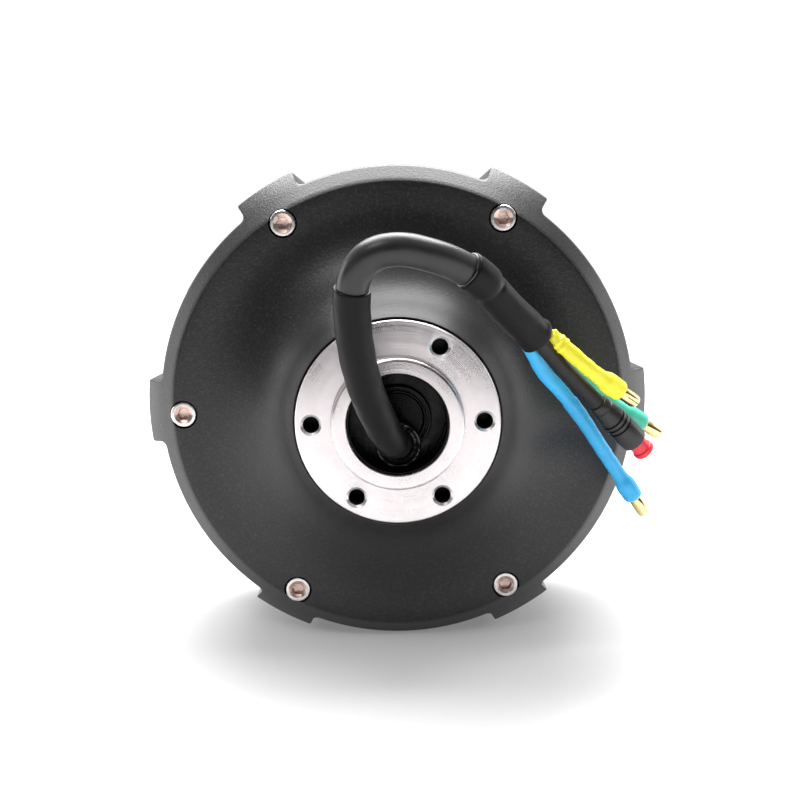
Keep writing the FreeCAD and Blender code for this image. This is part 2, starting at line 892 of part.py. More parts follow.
def cable_collar():
    """Rubber grommet that fills the hole in the resin round the cable."""
    body = cylinder(collar_r, collar_front_y, potting_y, cable_exit_x, cable_exit_z)
    return solid_of(body.cut(main_cable()))


def lower_sleeve():
    path = route(cable_points, lower_sleeve_first_index, lower_sleeve_last_index, 0.5, 0.5)
    return solid_of(tube(path, cable_r + sleeve_wall, "lower_sleeve").cut(main_cable()))


def upper_sleeve():
    """Shrink sleeve over the end of the cable's jacket, closed round the leads."""
    first = upper_sleeve_first_index - before_sleeve_index
    body = tube(route(upper_sleeve_points, first, None, 0.5), upper_sleeve_r, "upper_sleeve")
    body = body.cut(main_cable())
    for points, start in phase_leads.values():
        body = body.cut(tube(route(points), wire_r, "inside sleeve"))
    return solid_of(body.cut(tube(route(sensor_points), sensor_lead_r, "inside sleeve")))


def shrink_tube(points, share, name):
    body = tube(route(points, 3, None, share), wire_r + shrink_wall, name)
    mouth = along(points, barrel_r + shrink_wall, -shrink_step, shrink_step + barrel_length)
    body = body.fuse(mouth)
    body = body.cut(tube(route(points), wire_r, name))
    return solid_of(body.cut(along(points, barrel_r, 0, barrel_length)))


def bullet(points):
    """Gold-plated bullet plug: soldered barrel, and a pin slit crosswise so that it springs."""
    way = way_out(points)
    body = along(points, barrel_r, 0, barrel_length)
    body = body.fuse(along(points, pin_r, barrel_length, pin_length - pin_tip))
    tip_base = points[-1] + way * (barrel_length + pin_length - pin_tip)
    body = body.fuse(Part.makeCone(pin_r, pin_r - pin_tip * pin_tip_slope, pin_tip, tip_base, way))
    across = way.cross(AXIS)
    across.normalize()
    up = way.cross(across)
    for side, thin in ((across, up), (up, across)):
        centre = points[-1] + way * (barrel_length + pin_slit_start)
        corner = centre - side * (pin_r + 1) - thin * (pin_slit / 2)
        edges = [corner, corner + side * 2 * (pin_r + 1),
                 corner + side * 2 * (pin_r + 1) + thin * pin_slit, corner + thin * pin_slit]
        slit = Part.Face(Part.makePolygon(edges + edges[:1])).extrude(way * pin_length)
        body = body.cut(slit)
    return solid_of(body)


def sensor_connector():
    """Moulded round plug with three grip grooves."""
    way = way_out(sensor_points)
    slope = connector_length * connector_slope_share
    base = sensor_points[-1]
    body = Part.makeCone(connector_r, connector_end_r, slope, base, way)
    body = body.fuse(along(sensor_points, connector_end_r, slope, connector_length - slope))
    for k in range(groove_count):
        start = slope + first_groove + k * groove_pitch
        ring = along(sensor_points, connector_end_r + 1, start, groove_width)
        core = along(sensor_points, connector_end_r - groove_depth, start - 1, groove_width + 2)
        body = body.cut(ring.cut(core))
    return solid_of(body.removeSplitter())


def sensor_cap():
    return along(sensor_points, cap_r, connector_length, cap_length)


def main():
    os.makedirs(OUT_DIR, exist_ok=True)
    save("front_cover", front_cover())
    save("rotor_ring", rotor_ring())
    save("back_cover", back_cover())
    save("front_seal_ring", front_seal_ring())
    save("rear_seal_ring", rear_seal_ring())
    save("flux_ring", flux_ring())
    save("magnets", magnets())
    save("front_cover_screws", cover_screws(front_screw_r, front_seat_y, AXIS))
    save("rear_cover_screws", cover_screws(rear_screw_r, back_face_y - head_height, -AXIS))
    for name, bearing, y0 in (("front_bearing", front_bearing, front_bearing_y),
                              ("rear_bearing", rear_bearing, rear_shoulder_y)):
        save(name + "_inner_race", race(bearing, y0, -1))
        save(name + "_outer_race", race(bearing, y0, 1))
        save(name + "_balls", balls(bearing, y0))
        save(name + "_cage", cage(bearing, y0))
        save(name + "_seals", bearing_seals(bearing, y0))
    save("front_shaft_seal", front_shaft_seal())
    save("wave_washer", wave_washer())
    save("flange_shaft", flange_shaft())
    save("shaft_key", key_box())
    save("hub_circlip", hub_circlip())
    save("stator_hub", stator_hub())
    save("stator_core", stator_core())
    save("front_insulator", insulator(core_y - insulator_thickness).fuse(board_posts()))
    save("rear_insulator", insulator(core_end_y))
    save("coils", coils())
    save("hall_board", hall_board())
    save("hall_sensors", hall_sensors())
    save("bore_potting", bore_potting())
    save("cable_collar", cable_collar())
    save("main_cable", main_cable())
    save("lower_sleeve", lower_sleeve())
    save("upper_sleeve", upper_sleeve())
    for colour, (points, share) in phase_leads.items():
        save(colour + "_lead", tube(route(points), wire_r, colour + "_lead"))
        save(colour + "_shrink", shrink_tube(points, share, colour + "_shrink"))
        save(colour + "_bullet", bullet(points))
        print_radii(colour + "_lead", points, wire_r)
    save("sensor_lead", tube(route(sensor_points), sensor_lead_r, "sensor_lead"))
    save("sensor_connector", sensor_connector())
    save("sensor_cap", sensor_cap())
    print_radii("sensor_lead", sensor_points, sensor_lead_r)
    print_radii("main_cable", cable_points, cable_r)


main()
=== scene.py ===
# %% [markdown]
# # An electric scooter's hub motor
# The motor stands on its rim, with the bright fork flange towards us and its cable arching out of
# the bore. Everything is in metres. The wheel axis is Y, the flange faces -Y, and Z is up.
# We load the solid model first, so every piece we add sits exactly where the solids are.

# %% Load the frame
import math
import bpy
import bmesh
from mathutils import Matrix, Vector


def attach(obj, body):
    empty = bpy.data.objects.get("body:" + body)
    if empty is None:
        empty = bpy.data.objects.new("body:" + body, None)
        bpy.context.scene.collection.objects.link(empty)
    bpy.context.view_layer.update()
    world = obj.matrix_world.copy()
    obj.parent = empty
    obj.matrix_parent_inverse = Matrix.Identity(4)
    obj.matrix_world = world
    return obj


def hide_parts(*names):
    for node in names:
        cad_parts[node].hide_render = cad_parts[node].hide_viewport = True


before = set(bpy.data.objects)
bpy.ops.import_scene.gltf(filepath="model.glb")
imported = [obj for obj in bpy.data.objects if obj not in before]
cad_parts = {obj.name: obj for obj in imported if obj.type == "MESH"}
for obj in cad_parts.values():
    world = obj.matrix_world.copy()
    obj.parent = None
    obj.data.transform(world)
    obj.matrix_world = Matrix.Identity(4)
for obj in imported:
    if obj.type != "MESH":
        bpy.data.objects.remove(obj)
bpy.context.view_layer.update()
MM = 0.001
TAU = 2 * math.pi


# %% [markdown]
# The main sizes are those of the solids, in millimetres. Every y is measured from the flange's face,
# so the part nearest to the camera has the smallest y.

# %% Main sizes
flange_r = 25.5
bore_r = 12.6
spigot_y = -2.8
tapped_circle_r = 21.5
ring_edge_r = 64.5
lug_edge_r = 69.0
ring_bore_r = 60.0
register_r = 54.0
crest_y = 21.0
crest_inner_r = 54.0
crest_outer_r = 60.0
ring_front_y = 31.5
ring_back_y = 66.0
back_face_y = 74.0
back_boss_y = 75.6
front_screw_circle_r = 57.5
front_seat_y = 25.2
rear_screw_circle_r = 64.25
rear_seat_y = 70.0
around = 6
cable_z = -6.2


# %% [markdown]
# The photograph was taken from a little above the flange, close up, so the perspective is strong.
# A lens of 43 mm, 23 cm in front of the flange, gives the same picture. The camera leaned by 1.4
# degrees.

# %% Camera
eye = Vector((0.0, -0.2333, 0.0410))
pitch_down = 9.15
roll = -1.4
principal = (397.5, 409.5)
picture = 800

camera_data = bpy.data.cameras.new("camera")
camera_data.lens = 43.2
camera_data.sensor_width = 36
camera_data.sensor_fit = "HORIZONTAL"
camera_data.shift_x = (picture / 2 - principal[0]) / picture
camera_data.shift_y = (principal[1] - picture / 2) / picture
camera_data.clip_start = 0.01
camera = bpy.data.objects.new("camera", camera_data)
turn = Matrix.Rotation(math.radians(90 - pitch_down), 4, "X")
camera.matrix_world = Matrix.Translation(eye) @ turn @ Matrix.Rotation(math.radians(roll), 4, "Z")
bpy.context.collection.objects.link(camera)
bpy.context.scene.camera = camera


# %% [markdown]
# The cable and the leads come next, each as one smooth spline. They follow their solids, but the
# yellow and the sensor lead end where the photograph shows them. The cable leaves the bore, rises
# past the flange, arches over and comes down to the split.

# %% Routes of the cable and the leads
cable_route = [
    (0.0, 8.0, -6.2), (0.0, 1.0, -6.2), (-2.4, -5.0, -2.6), (-5.0, -11.4, 4.2),
    (-7.4, -16.8, 11.6), (-8.8, -21.6, 19.6), (-9.4, -25.4, 28.4), (-9.0, -28.4, 36.4),
    (-5.0, -30.0, 41.4), (1.6, -29.9, 42.4), (8.4, -28.2, 40.6), (13.2, -26.0, 38.8),
    (18.4, -22.8, 35.8), (22.2, -19.2, 31.8),
]
sleeve_route = cable_route[10:] + [(27.6, -14.8, 25.9), (33.4, -10.0, 20.9)]
lead_routes = {
    "yellow": [(24.0, -18.9, 33.3), (29.2, -14.7, 27.6), (35.0, -9.9, 22.6), (40.6, -10.6, 17.6),
               (44.6, -9.8, 14.0), (47.6, -8.6, 11.6), (50.0, -7.4, 9.9)],
    "blue": [(20.3, -18.0, 30.4), (25.6, -13.8, 24.7), (31.3, -9.0, 19.7), (35.1, -2.4, 12.4),
             (40.7, 2.0, 6.7), (46.6, 6.0, -0.7), (51.4, 8.2, -8.2), (55.6, 9.6, -14.4),
             (58.9, 10.6, -19.4)],
    "green": [(22.0, -17.2, 32.8), (27.2, -13.0, 27.1), (32.7, -7.8, 21.9), (41.5, -0.2, 14.9),
              (48.8, 3.4, 7.2), (54.4, 6.0, 2.4), (59.0, 7.3, -0.7)],
    "sensor": [(22.6, -20.4, 30.7), (27.8, -16.2, 25.0), (33.6, -11.4, 20.0), (37.6, -8.6, 15.4),
               (43.0, -6.0, 9.9), (48.4, -4.0, 4.4)],
}
cable_radius = 3.6 * MM
wire_radius = 1.3 * MM
sensor_radius = 2.0 * MM


def in_metres(route):
    return [Vector(p) * MM for p in route]


def spline_curve(name, route, radius):
    """A NURBS curve whose control points are the route's points."""
    data = bpy.data.curves.new(name, "CURVE")
    data.dimensions = "3D"
    data.resolution_u = 24
    data.bevel_depth = radius
    data.bevel_resolution = 8
    data.use_fill_caps = True
    spline = data.splines.new("NURBS")
    spline.points.add(len(route) - 1)
    for point, place in zip(spline.points, in_metres(route)):
        point.co = (*place, 1)
    spline.order_u = 3
    spline.use_endpoint_u = True
    obj = bpy.data.objects.new(name, data)
    bpy.context.collection.objects.link(obj)
    return obj


def line_of(route):
    """Points along the smooth spline of a route."""
    probe = spline_curve("probe", route, 0)
    bpy.context.view_layer.update()
    seen = probe.evaluated_get(bpy.context.evaluated_depsgraph_get())
    mesh = bpy.data.meshes.new_from_object(seen)
    points = [v.co.copy() for v in mesh.vertices]
    bpy.data.objects.remove(probe)
    bpy.data.meshes.remove(mesh)
    return points


def length_of(points):
    return sum((b - a).length for a, b in zip(points, points[1:]))


cable_line = line_of(cable_route)
sleeve_line = line_of(sleeve_route)
lead_lines = {name: line_of(route) for name, route in lead_routes.items()}
for name, line in lead_lines.items():
    print(name, "lead", round(length_of(line) * 1000, 1), "mm")
print("cable", round(length_of(cable_line) * 1000, 1), "mm")


# %% [markdown]
# ## Shared effects
# Real finishes are never one flat value. Three node groups are used again and again: a fine grain
# with rare bright specks, soft patches from handling, and the rings that a lathe tool leaves.

# %% Node group helpers
def node_group(name, inputs, outputs):
    """An empty group with named value inputs and outputs."""
    tree = bpy.data.node_groups.new(name, "ShaderNodeTree")
    for label, default in inputs:
        socket = tree.interface.new_socket(label, in_out="INPUT", socket_type="NodeSocketFloat")
        socket.default_value = default
    for label in outputs:
        tree.interface.new_socket(label, in_out="OUTPUT", socket_type="NodeSocketFloat")
    return tree, tree.nodes.new("NodeGroupInput"), tree.nodes.new("NodeGroupOutput")


def noise(tree, scale_socket, detail, place_socket, dimensions="3D"):
    """Noise read at a place, or along one value if dimensions is 1D."""
    made = tree.nodes.new("ShaderNodeTexNoise")
    made.noise_dimensions = dimensions
    made.inputs["Detail"].default_value = detail
    tree.links.new(scale_socket, made.inputs["Scale"])
    tree.links.new(place_socket, made.inputs["Vector" if dimensions == "3D" else "W"])
    return made.outputs["Fac"]


def maths(tree, operation, first, second):
    """One sum of two sockets or numbers."""
    made = tree.nodes.new("ShaderNodeMath")
    made.operation = operation
    for socket, value in zip(made.inputs, (first, second)):
        if hasattr(value, "is_linked"):
            tree.links.new(value, socket)
        else:
            socket.default_value = value
    return made.outputs[0]


def mixed(tree, factor, first, second):
    """A mix of two colours, each a socket or three numbers."""
    made = tree.nodes.new("ShaderNodeMix")
    made.data_type = "RGBA"
    tree.links.new(factor, made.inputs["Factor"])
    for label, value in (("A", first), ("B", second)):
        if hasattr(value, "is_linked"):
            tree.links.new(value, made.inputs[label])
        else:
            made.inputs[label].default_value = (*value, 1)
    return made.outputs["Result"]


def group_outputs(tree, group, label, value):
    """Outputs of a group placed in a material, with its one input set."""
    made = tree.nodes.new("ShaderNodeGroup")
    made.node_tree = group
    made.inputs[label].default_value = value
    return made.outputs


def spread(tree, value, low, high, to_low=0.0, to_high=1.0):
    """Stretch a value from one range to another."""
    made = tree.nodes.new("ShaderNodeMapRange")
    tree.links.new(value, made.inputs["Value"])
    for label, number in (("From Min", low), ("From Max", high),
                          ("To Min", to_low), ("To Max", to_high)):
        made.inputs[label].default_value = number
    return made.outputs["Result"]


# %% Fine grain with specks
grain_group, g_in, g_out = node_group("fine grain", [("Scale", 4000.0)], ["Height", "Specks"])
place = grain_group.nodes.new("ShaderNodeTexCoord").outputs["Object"]
fine = noise(grain_group, g_in.outputs["Scale"], 2.0, place)
grain_group.links.new(fine, g_out.inputs["Height"])
grain_group.links.new(spread(grain_group, fine, 0.50, 0.72), g_out.inputs["Specks"])

# %% Soft patches
patch_group, p_in, p_out = node_group("soft patches", [("Scale", 60.0)], ["Mask"])
place = patch_group.nodes.new("ShaderNodeTexCoord").outputs["Object"]
soft = noise(patch_group, p_in.outputs["Scale"], 4.0, place)
patch_group.links.new(spread(patch_group, soft, 0.35, 0.68), p_out.inputs["Mask"])

# %% Rings left by the lathe
ring_group, r_in, r_out = node_group("turned rings", [("Rings per metre", 9000.0)], ["Height", "Streaks"])
place = ring_group.nodes.new("ShaderNodeTexCoord").outputs["Object"]
split = ring_group.nodes.new("ShaderNodeSeparateXYZ")
ring_group.links.new(place, split.inputs[0])
x2 = maths(ring_group, "POWER", split.outputs["X"], 2.0)
z2 = maths(ring_group, "POWER", split.outputs["Z"], 2.0)
radius = maths(ring_group, "SQRT", maths(ring_group, "ADD", x2, z2), 0.0)
rings = noise(ring_group, r_in.outputs["Rings per metre"], 2.0, radius, "1D")
ring_group.links.new(rings, r_out.inputs["Height"])
streak_width = 0.12
wide = maths(ring_group, "MULTIPLY", r_in.outputs["Rings per metre"], streak_width)
ring_group.links.new(noise(ring_group, wide, 3.0, radius, "1D"), r_out.inputs["Streaks"])


# %% [markdown]
# ## Finishes
# Each finish is one material. Colour, roughness and a little bump come from the groups above, and
# each has its own values, because cast, turned, moulded and shrunk surfaces catch light differently.

# %% Material helper
COAT_ROUGHNESS = 0.15
BUMP_DEPTH = 0.0002
STREAK_SHARE = 0.6


def finish(name, base, roughness, metallic=0.0, grain=(4000.0, 0.05), patches=(60.0, 0.06),
           specks=0.0, rings=None, coat=0.0, speck_colour=(0.5, 0.5, 0.5), vary=0.25, shine=0.5):
    """A finish whose colour and roughness wander by the patches, with grain or rings as bump.

    grain and rings are a scale and a strength, patches a scale and a range of roughness.
    """
    patch_scale, patch_range = patches
    bump_strength = rings[1] if rings else grain[1]
    made = bpy.data.materials.new(name)
    made.use_nodes = True
    tree = made.node_tree
    shader = tree.nodes["Principled BSDF"]
    shader.inputs["Metallic"].default_value = metallic
    shader.inputs["Coat Weight"].default_value = coat
    shader.inputs["Specular IOR Level"].default_value = shine
    shader.inputs["Coat Roughness"].default_value = COAT_ROUGHNESS
    mask = group_outputs(tree, patch_group, "Scale", patch_scale)["Mask"]
    tree.links.new(spread(tree, mask, 0, 1, roughness - patch_range, roughness + patch_range),
                   shader.inputs["Roughness"])
    colour = mixed(tree, mask, [c * (1 - vary) for c in base], base)
    grains = group_outputs(tree, grain_group, "Scale", grain[0])
    height = grains["Height"]
    if specks:
        sparkle = maths(tree, "MULTIPLY", grains["Specks"], specks)
        colour = mixed(tree, sparkle, colour, speck_colour)
    if rings:
        turning = group_outputs(tree, ring_group, "Rings per metre", rings[0])
        streaks = maths(tree, "MULTIPLY", turning["Streaks"], STREAK_SHARE)
        height = maths(tree, "ADD", turning["Height"], streaks)
    tree.links.new(colour, shader.inputs["Base Color"])
    bump = tree.nodes.new("ShaderNodeBump")
    bump.inputs["Strength"].default_value = bump_strength
    bump.inputs["Distance"].default_value = BUMP_DEPTH
    tree.links.new(height, bump.inputs["Height"])
    tree.links.new(bump.outputs["Normal"], shader.inputs["Normal"])
    return made


# %% The finishes of this motor
black_coat = finish("black coat", (0.0125, 0.0115, 0.0120), 0.37, grain=(1700.0, 0.28),
                    patches=(35.0, 0.03), specks=0.6, speck_colour=(0.040, 0.038, 0.040))
turned_alloy = finish("turned alloy", (0.82, 0.77, 0.78), 0.30, 1.0, patches=(110.0, 0.07),
                      rings=(6500.0, 0.22), vary=0.20)
cast_alloy = finish("cast alloy", (0.62, 0.62, 0.63), 0.5, 1.0, grain=(900.0, 0.2))
screw_steel = finish("screw steel", (0.84, 0.81, 0.79), 0.30, 1.0, patches=(700.0, 0.05))
socket_steel = finish("socket steel", (0.80, 0.60, 0.52), 0.38, 1.0, patches=(900.0, 0.06))
bearing_steel = finish("bearing steel", (0.70, 0.70, 0.71), 0.16, 1.0, patches=(200.0, 0.04))
ring_steel = finish("ring steel", (0.36, 0.36, 0.37), 0.38, 1.0)
core_steel = finish("core steel", (0.30, 0.30, 0.32), 0.42, 1.0, grain=(1500.0, 0.3))
magnet_plate = finish("nickel plate", (0.62, 0.59, 0.54), 0.24, 1.0)
copper_wire = finish("enamelled copper", (0.60, 0.22, 0.08), 0.26, 1.0, grain=(1600.0, 0.5), coat=0.5)
gold_plate = finish("gold plate", (0.96, 0.76, 0.36), 0.16, 1.0, patches=(500.0, 0.05), vary=0.12)
insulator_plastic = finish("insulator plastic", (0.70, 0.67, 0.58), 0.55)
board_green = finish("board green", (0.02, 0.16, 0.07), 0.35, coat=0.3)
part_black = finish("moulded black", (0.014, 0.014, 0.015), 0.36, grain=(3000.0, 0.12))
cage_nylon = finish("cage nylon", (0.55, 0.36, 0.18), 0.5)
black_resin = finish("black resin", (0.003, 0.003, 0.0035), 0.26, grain=(900.0, 0.25),
                     patches=(300.0, 0.1), shine=0.15)
# Painted shade: the walls of the flange's threaded holes are near black, so the holes look dark.
thread_painted_shade = finish("threaded hole painted shade", (0.030, 0.028, 0.028), 0.45, 0.6)
bright_edge = finish("bright chamfer", (0.88, 0.86, 0.87), 0.28, 1.0)
# Painted shade: the walls of the screw pockets are darker and duller than the coat around them.
pocket_painted_shade = finish("pocket painted shade", (0.006, 0.006, 0.006), 0.55)
seal_rubber = finish("seal rubber", (0.012, 0.012, 0.012), 0.55)
collar_rubber = finish("collar rubber", (0.012, 0.012, 0.013), 0.22, grain=(700.0, 0.15))
cable_rubber = finish("cable rubber", (0.022, 0.020, 0.022), 0.34, grain=(2200.0, 0.12),
                      patches=(150.0, 0.05), shine=0.45)
sleeve_black = finish("shrink sleeve", (0.005, 0.0045, 0.005), 0.42, grain=(1700.0, 0.18),
                      patches=(220.0, 0.06), shine=0.16)
lead_black = finish("sensor lead black", (0.012, 0.011, 0.012), 0.45, grain=(1700.0, 0.12), shine=0.35)
yellow_sheath = finish("yellow sheath", (1.0, 0.93, 0.040), 0.42, grain=(900.0, 0.14), vary=0.10)
blue_sheath = finish("blue sheath", (0.045, 0.52, 0.98), 0.42, grain=(900.0, 0.14), vary=0.18)
green_sheath = finish("green sheath", (0.10, 0.76, 0.55), 0.42, grain=(900.0, 0.14), vary=0.15)
red_cap = finish("red cap", (1.0, 0.042, 0.070), 0.34, grain=(900.0, 0.1), vary=0.15)

node_finishes = {
    "front_cover": black_coat, "rotor_ring": black_coat, "back_cover": black_coat,
    "front_seal_ring": seal_rubber, "rear_seal_ring": seal_rubber, "flux_ring": ring_steel,
    "magnets": magnet_plate, "front_cover_screws": screw_steel, "rear_cover_screws": screw_steel,
    "front_shaft_seal": seal_rubber, "wave_washer": screw_steel, "flange_shaft": turned_alloy,
    "shaft_key": screw_steel, "hub_circlip": ring_steel, "stator_hub": cast_alloy,
    "stator_core": core_steel, "front_insulator": insulator_plastic,
    "rear_insulator": insulator_plastic, "coils": copper_wire, "hall_board": board_green,
    "hall_sensors": part_black, "bore_potting": black_resin, "cable_collar": collar_rubber,
}
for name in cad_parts:
    if "bearing" in name:
        node_finishes[name] = bearing_steel
    if name.endswith("seals"):
        node_finishes[name] = seal_rubber
    if name.endswith("cage"):
        node_finishes[name] = cage_nylon
for name, material in node_finishes.items():
    data = bpy.data.objects[name].data
    data.materials.clear()
    data.materials.append(material)
print("finishes:", len(bpy.data.materials))


# %% [markdown]
# ## Meshes from rings
# Sleeves, shrink tubes and turned parts all have the same build: one ring of points after another.
# A tube follows a line, and its cross-section may swell, pinch or flatten on the way. Holes and
# slits are cut afterwards.

# %% Helpers for pieces made of rings
def piece_of(name, verts, faces, material, smooth_angle=35):
    """A piece in the scene, with edges sharper than smooth_angle left sharp."""
    mesh = bpy.data.meshes.new(name)
    mesh.from_pydata([tuple(v) for v in verts], [], faces)
    body = bmesh.new()
    body.from_mesh(mesh)
    bmesh.ops.remove_doubles(body, verts=body.verts, dist=1e-7)
    bmesh.ops.recalc_face_normals(body, faces=body.faces)
    body.to_mesh(mesh)
    body.free()
    mesh.shade_smooth()
    mesh.set_sharp_from_angle(angle=math.radians(smooth_angle))
    mesh.materials.append(material)
    obj = bpy.data.objects.new(name, mesh)
    bpy.context.collection.objects.link(obj)
    return obj


def ring_faces(rings, count, closed):
    """Quads between rings of count points. closed joins the last ring to the first."""
    faces = []
    steps = rings if closed else rings - 1
    for i in range(steps):
        a, b = i * count, ((i + 1) % rings) * count
        for k in range(count):
            n = (k + 1) % count
            faces.append((a + k, a + n, b + n, b + k))
    return faces


def rings_piece(name, rings, material, closed, smooth_angle):
    """A piece from rings. closed joins the last ring to the first, and otherwise both are capped."""
    count = len(rings[0])
    faces = ring_faces(len(rings), count, closed)
    if not closed:
        faces.append(tuple(range(count))[::-1])
        faces.append(tuple(range((len(rings) - 1) * count, len(rings) * count)))
    return piece_of(name, [p for ring in rings for p in ring], faces, material, smooth_angle)


def turned(name, outline, material, count=180, x=0.0, z=0.0, closed=True, smooth_angle=30):
    """Turn an outline of (radius, y) in millimetres about an axis along Y."""
    rings = []
    for r, y in outline:
        rings.append([Vector((x + r * math.cos(TAU * k / count), y,
                              z + r * math.sin(TAU * k / count))) * MM for k in range(count)])
    return rings_piece(name, rings, material, closed, smooth_angle)


def settled(obj):
    """Turn an object's modifiers into plain mesh."""
    bpy.context.view_layer.update()
    seen = obj.evaluated_get(bpy.context.evaluated_depsgraph_get())
    mesh = bpy.data.meshes.new_from_object(seen)
    obj.modifiers.clear()
    obj.data = mesh


def cut(obj, cutter):
    """Cut, and let the new walls keep the cutter's own material."""
    made = obj.modifiers.new("cut", "BOOLEAN")
    made.operation = "DIFFERENCE"
    made.solver = "EXACT"
    made.material_mode = "TRANSFER"
    made.object = cutter
    settled(obj)
    bpy.data.objects.remove(cutter)


def cut_sharp(obj, cutter):
    """Cut, and keep the edges of the cut sharp."""
    cut(obj, cutter)
    obj.data.shade_smooth()
    obj.data.set_sharp_from_angle(angle=math.radians(28))


class Track:
    """A line with lengths and steady frames, for building round it."""

    def __init__(self, points):
        self.points = points
        self.at = [0.0]
        for a, b in zip(points, points[1:]):
            self.at.append(self.at[-1] + (b - a).length)
        self.length = self.at[-1]
        self.ways = []
        for i in range(len(points)):
            a, b = points[max(i - 1, 0)], points[min(i + 1, len(points) - 1)]
            self.ways.append((b - a).normalized())
        up = Vector((0, -1, 0))
        self.ups = []
        for way in self.ways:
            up = (up - way * up.dot(way)).normalized()
            self.ups.append(up.copy())

    def frame(self, s):
        """Place, side, up and direction at a distance along the line, also past its ends."""
        s_in = min(max(s, 0.0), self.length)
        i = max(k for k, at in enumerate(self.at) if at <= s_in)
        i = min(i, len(self.points) - 2)
        t = (s_in - self.at[i]) / (self.at[i + 1] - self.at[i])
        place = self.points[i].lerp(self.points[i + 1], t)
        way = self.ways[i].lerp(self.ways[i + 1], t).normalized()
        up = self.ups[i].lerp(self.ups[i + 1], t)
        up = (up - way * up.dot(way)).normalized()
        return place + way * (s - s_in), way.cross(up), up, way

    def nearest(self, point):
        """Distance along the line of its point nearest to a place."""
        k = min(range(len(self.points)), key=lambda i: (self.points[i] - point).length)
        return self.at[k]


def tube_rings(track, steps, shape, count):
    """Rings along a track. shape(s, angle) gives the distance from the line."""
    rings = []
    for s in steps:
        place, side, up, way = track.frame(s)
        ring = []
        for k in range(count):
            a = TAU * k / count
            out = side * math.cos(a) + up * math.sin(a)
            ring.append(place + out * shape(s, a))
        rings.append(ring)
    return rings


def profile_rings(track, profile, count):
    """Rings past the end of a track, from a profile of (distance, radius) in millimetres."""
    rings = []
    for at, radius in profile:
        rings += tube_rings(track, [track.length + at * MM], lambda s, a, r=radius: r * MM, count)
    return rings


def stations(start, end, count):
    """Evenly spaced values from start to end, both included."""
    return [start + (end - start) * i / (count - 1) for i in range(count)]


def eased(s, start, end):
    """A soft step from 0 at start to 1 at end."""
    t = min(max((s - start) / (end - start), 0.0), 1.0)
    return t * t * (3 - 2 * t)


def bump_at(s, middle, width):
    """A soft bump: 1 at the middle, and fading to nothing over its width."""
    return math.exp(-(((s - middle) / width) ** 2))


def sleeve_piece(name, track, start, end, shape, inner, material, count, rings):
    """A sleeve with an outer wall of a given shape and an inner wall, open at both ends."""
    lip = 0.12 * MM
    outer = tube_rings(track, [start] + stations(start + lip, end - lip, rings) + [end],
                       lambda s, a: shape(s, a) - (lip if s in (start, end) else 0), count)
    inside = tube_rings(track, stations(start, end, rings)[::-1], inner, count)
    return rings_piece(name, outer + inside, material, True, 50)


# %% [markdown]
# ## Cable, sleeves and leads
# The cable is a satin rubber jacket. A heat-shrink sleeve is never quite smooth: it wrinkles where
# the cable bends and draws in over a step, so its radius wanders a little along its length.

# %% Main cable
cable = spline_curve("cable_jacket", cable_route, cable_radius)
cable.data.materials.append(cable_rubber)
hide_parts("main_cable")
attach(cable, "stator")
cable_track = Track(cable_line)

# %% Lower sleeve, cut square
lower_start = cable_track.nearest(Vector((-1.2, -2.0, -4.4)) * MM)
lower_end = cable_track.nearest(Vector((-9.3, -27.5, 34.0)) * MM)
lower_wall = 0.50 * MM


def lower_shape(s, a):
    ripple = 0.05 * MM * math.sin(s * 900 + 2 * math.sin(a)) * math.cos(a - 0.6)
    return cable_radius + lower_wall + ripple


lower_sleeve = sleeve_piece("lower_shrink_sleeve", cable_track, lower_start, lower_end, lower_shape,
                            lambda s, a: cable_radius + 0.02 * MM, sleeve_black, 56, 90)
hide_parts("lower_sleeve")
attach(lower_sleeve, "stator")

# %% [markdown]
# The upper sleeve grips the jacket, draws in where the jacket ends, and spreads again over the
# leads. At its start the glue has left a shiny ring.

# %% Upper sleeve
sleeve_track = Track(sleeve_line)
upper_start = sleeve_track.nearest(Vector((15.8, -24.4, 37.3)) * MM)
jacket_end = sleeve_track.nearest(Vector((22.0, -19.3, 31.9)) * MM)
mouth = sleeve_track.length - 0.9 * MM
upper_wall = 0.55 * MM


def upper_shape(s, a):
    over_jacket = cable_radius + 0.72 * MM
    neck = 4.02 * MM + 0.06 * MM * math.cos(3 * a)
    spread_wide = 4.30 * MM
    spread_thin = 4.05 * MM
    flat = math.sqrt((spread_wide * math.cos(a)) ** 2 + (spread_thin * math.sin(a)) ** 2)
    r = over_jacket + (neck - over_jacket) * eased(s, jacket_end - 4.4 * MM, jacket_end - 1.6 * MM)
    r = r + (flat - r) * eased(s, jacket_end + 0.5 * MM, mouth - 4.0 * MM)
    crease = 0.22 * MM * bump_at(s, jacket_end - 2.2 * MM, 0.7 * MM)
    r -= crease * max(0.0, math.cos(a - 2.2))
    lobes = 0.18 * MM * math.cos(3 * a + 0.9) * eased(s, mouth - 6 * MM, mouth)
    torn = 0.45 * MM * bump_at(s, mouth - 1.0 * MM, 0.8 * MM)
    return r + lobes + torn * max(0.0, math.cos(a - 2.7)) ** 6


def upper_inside(s, a):
    """The inner wall, which hugs the jacket as far as the jacket goes."""
    inner = upper_shape(s, a) - upper_wall
    return min(inner, cable_radius + 0.06 * MM) if s < jacket_end else inner


upper_sleeve = sleeve_piece("upper_shrink_sleeve", sleeve_track, upper_start, mouth, upper_shape,
                            upper_inside, sleeve_black, 56, 80)
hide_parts("upper_sleeve")
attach(upper_sleeve, "stator")

# %% Shiny glue ring at the start of the upper sleeve
glue = sleeve_piece("glue_ring", sleeve_track, upper_start - 0.55 * MM, upper_start + 0.05 * MM,
                    lambda s, a: cable_radius + 0.42 * MM + 0.06 * MM * math.sin(5 * a),
                    lambda s, a: cable_radius - 0.05 * MM, collar_rubber, 56, 6)
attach(glue, "stator")

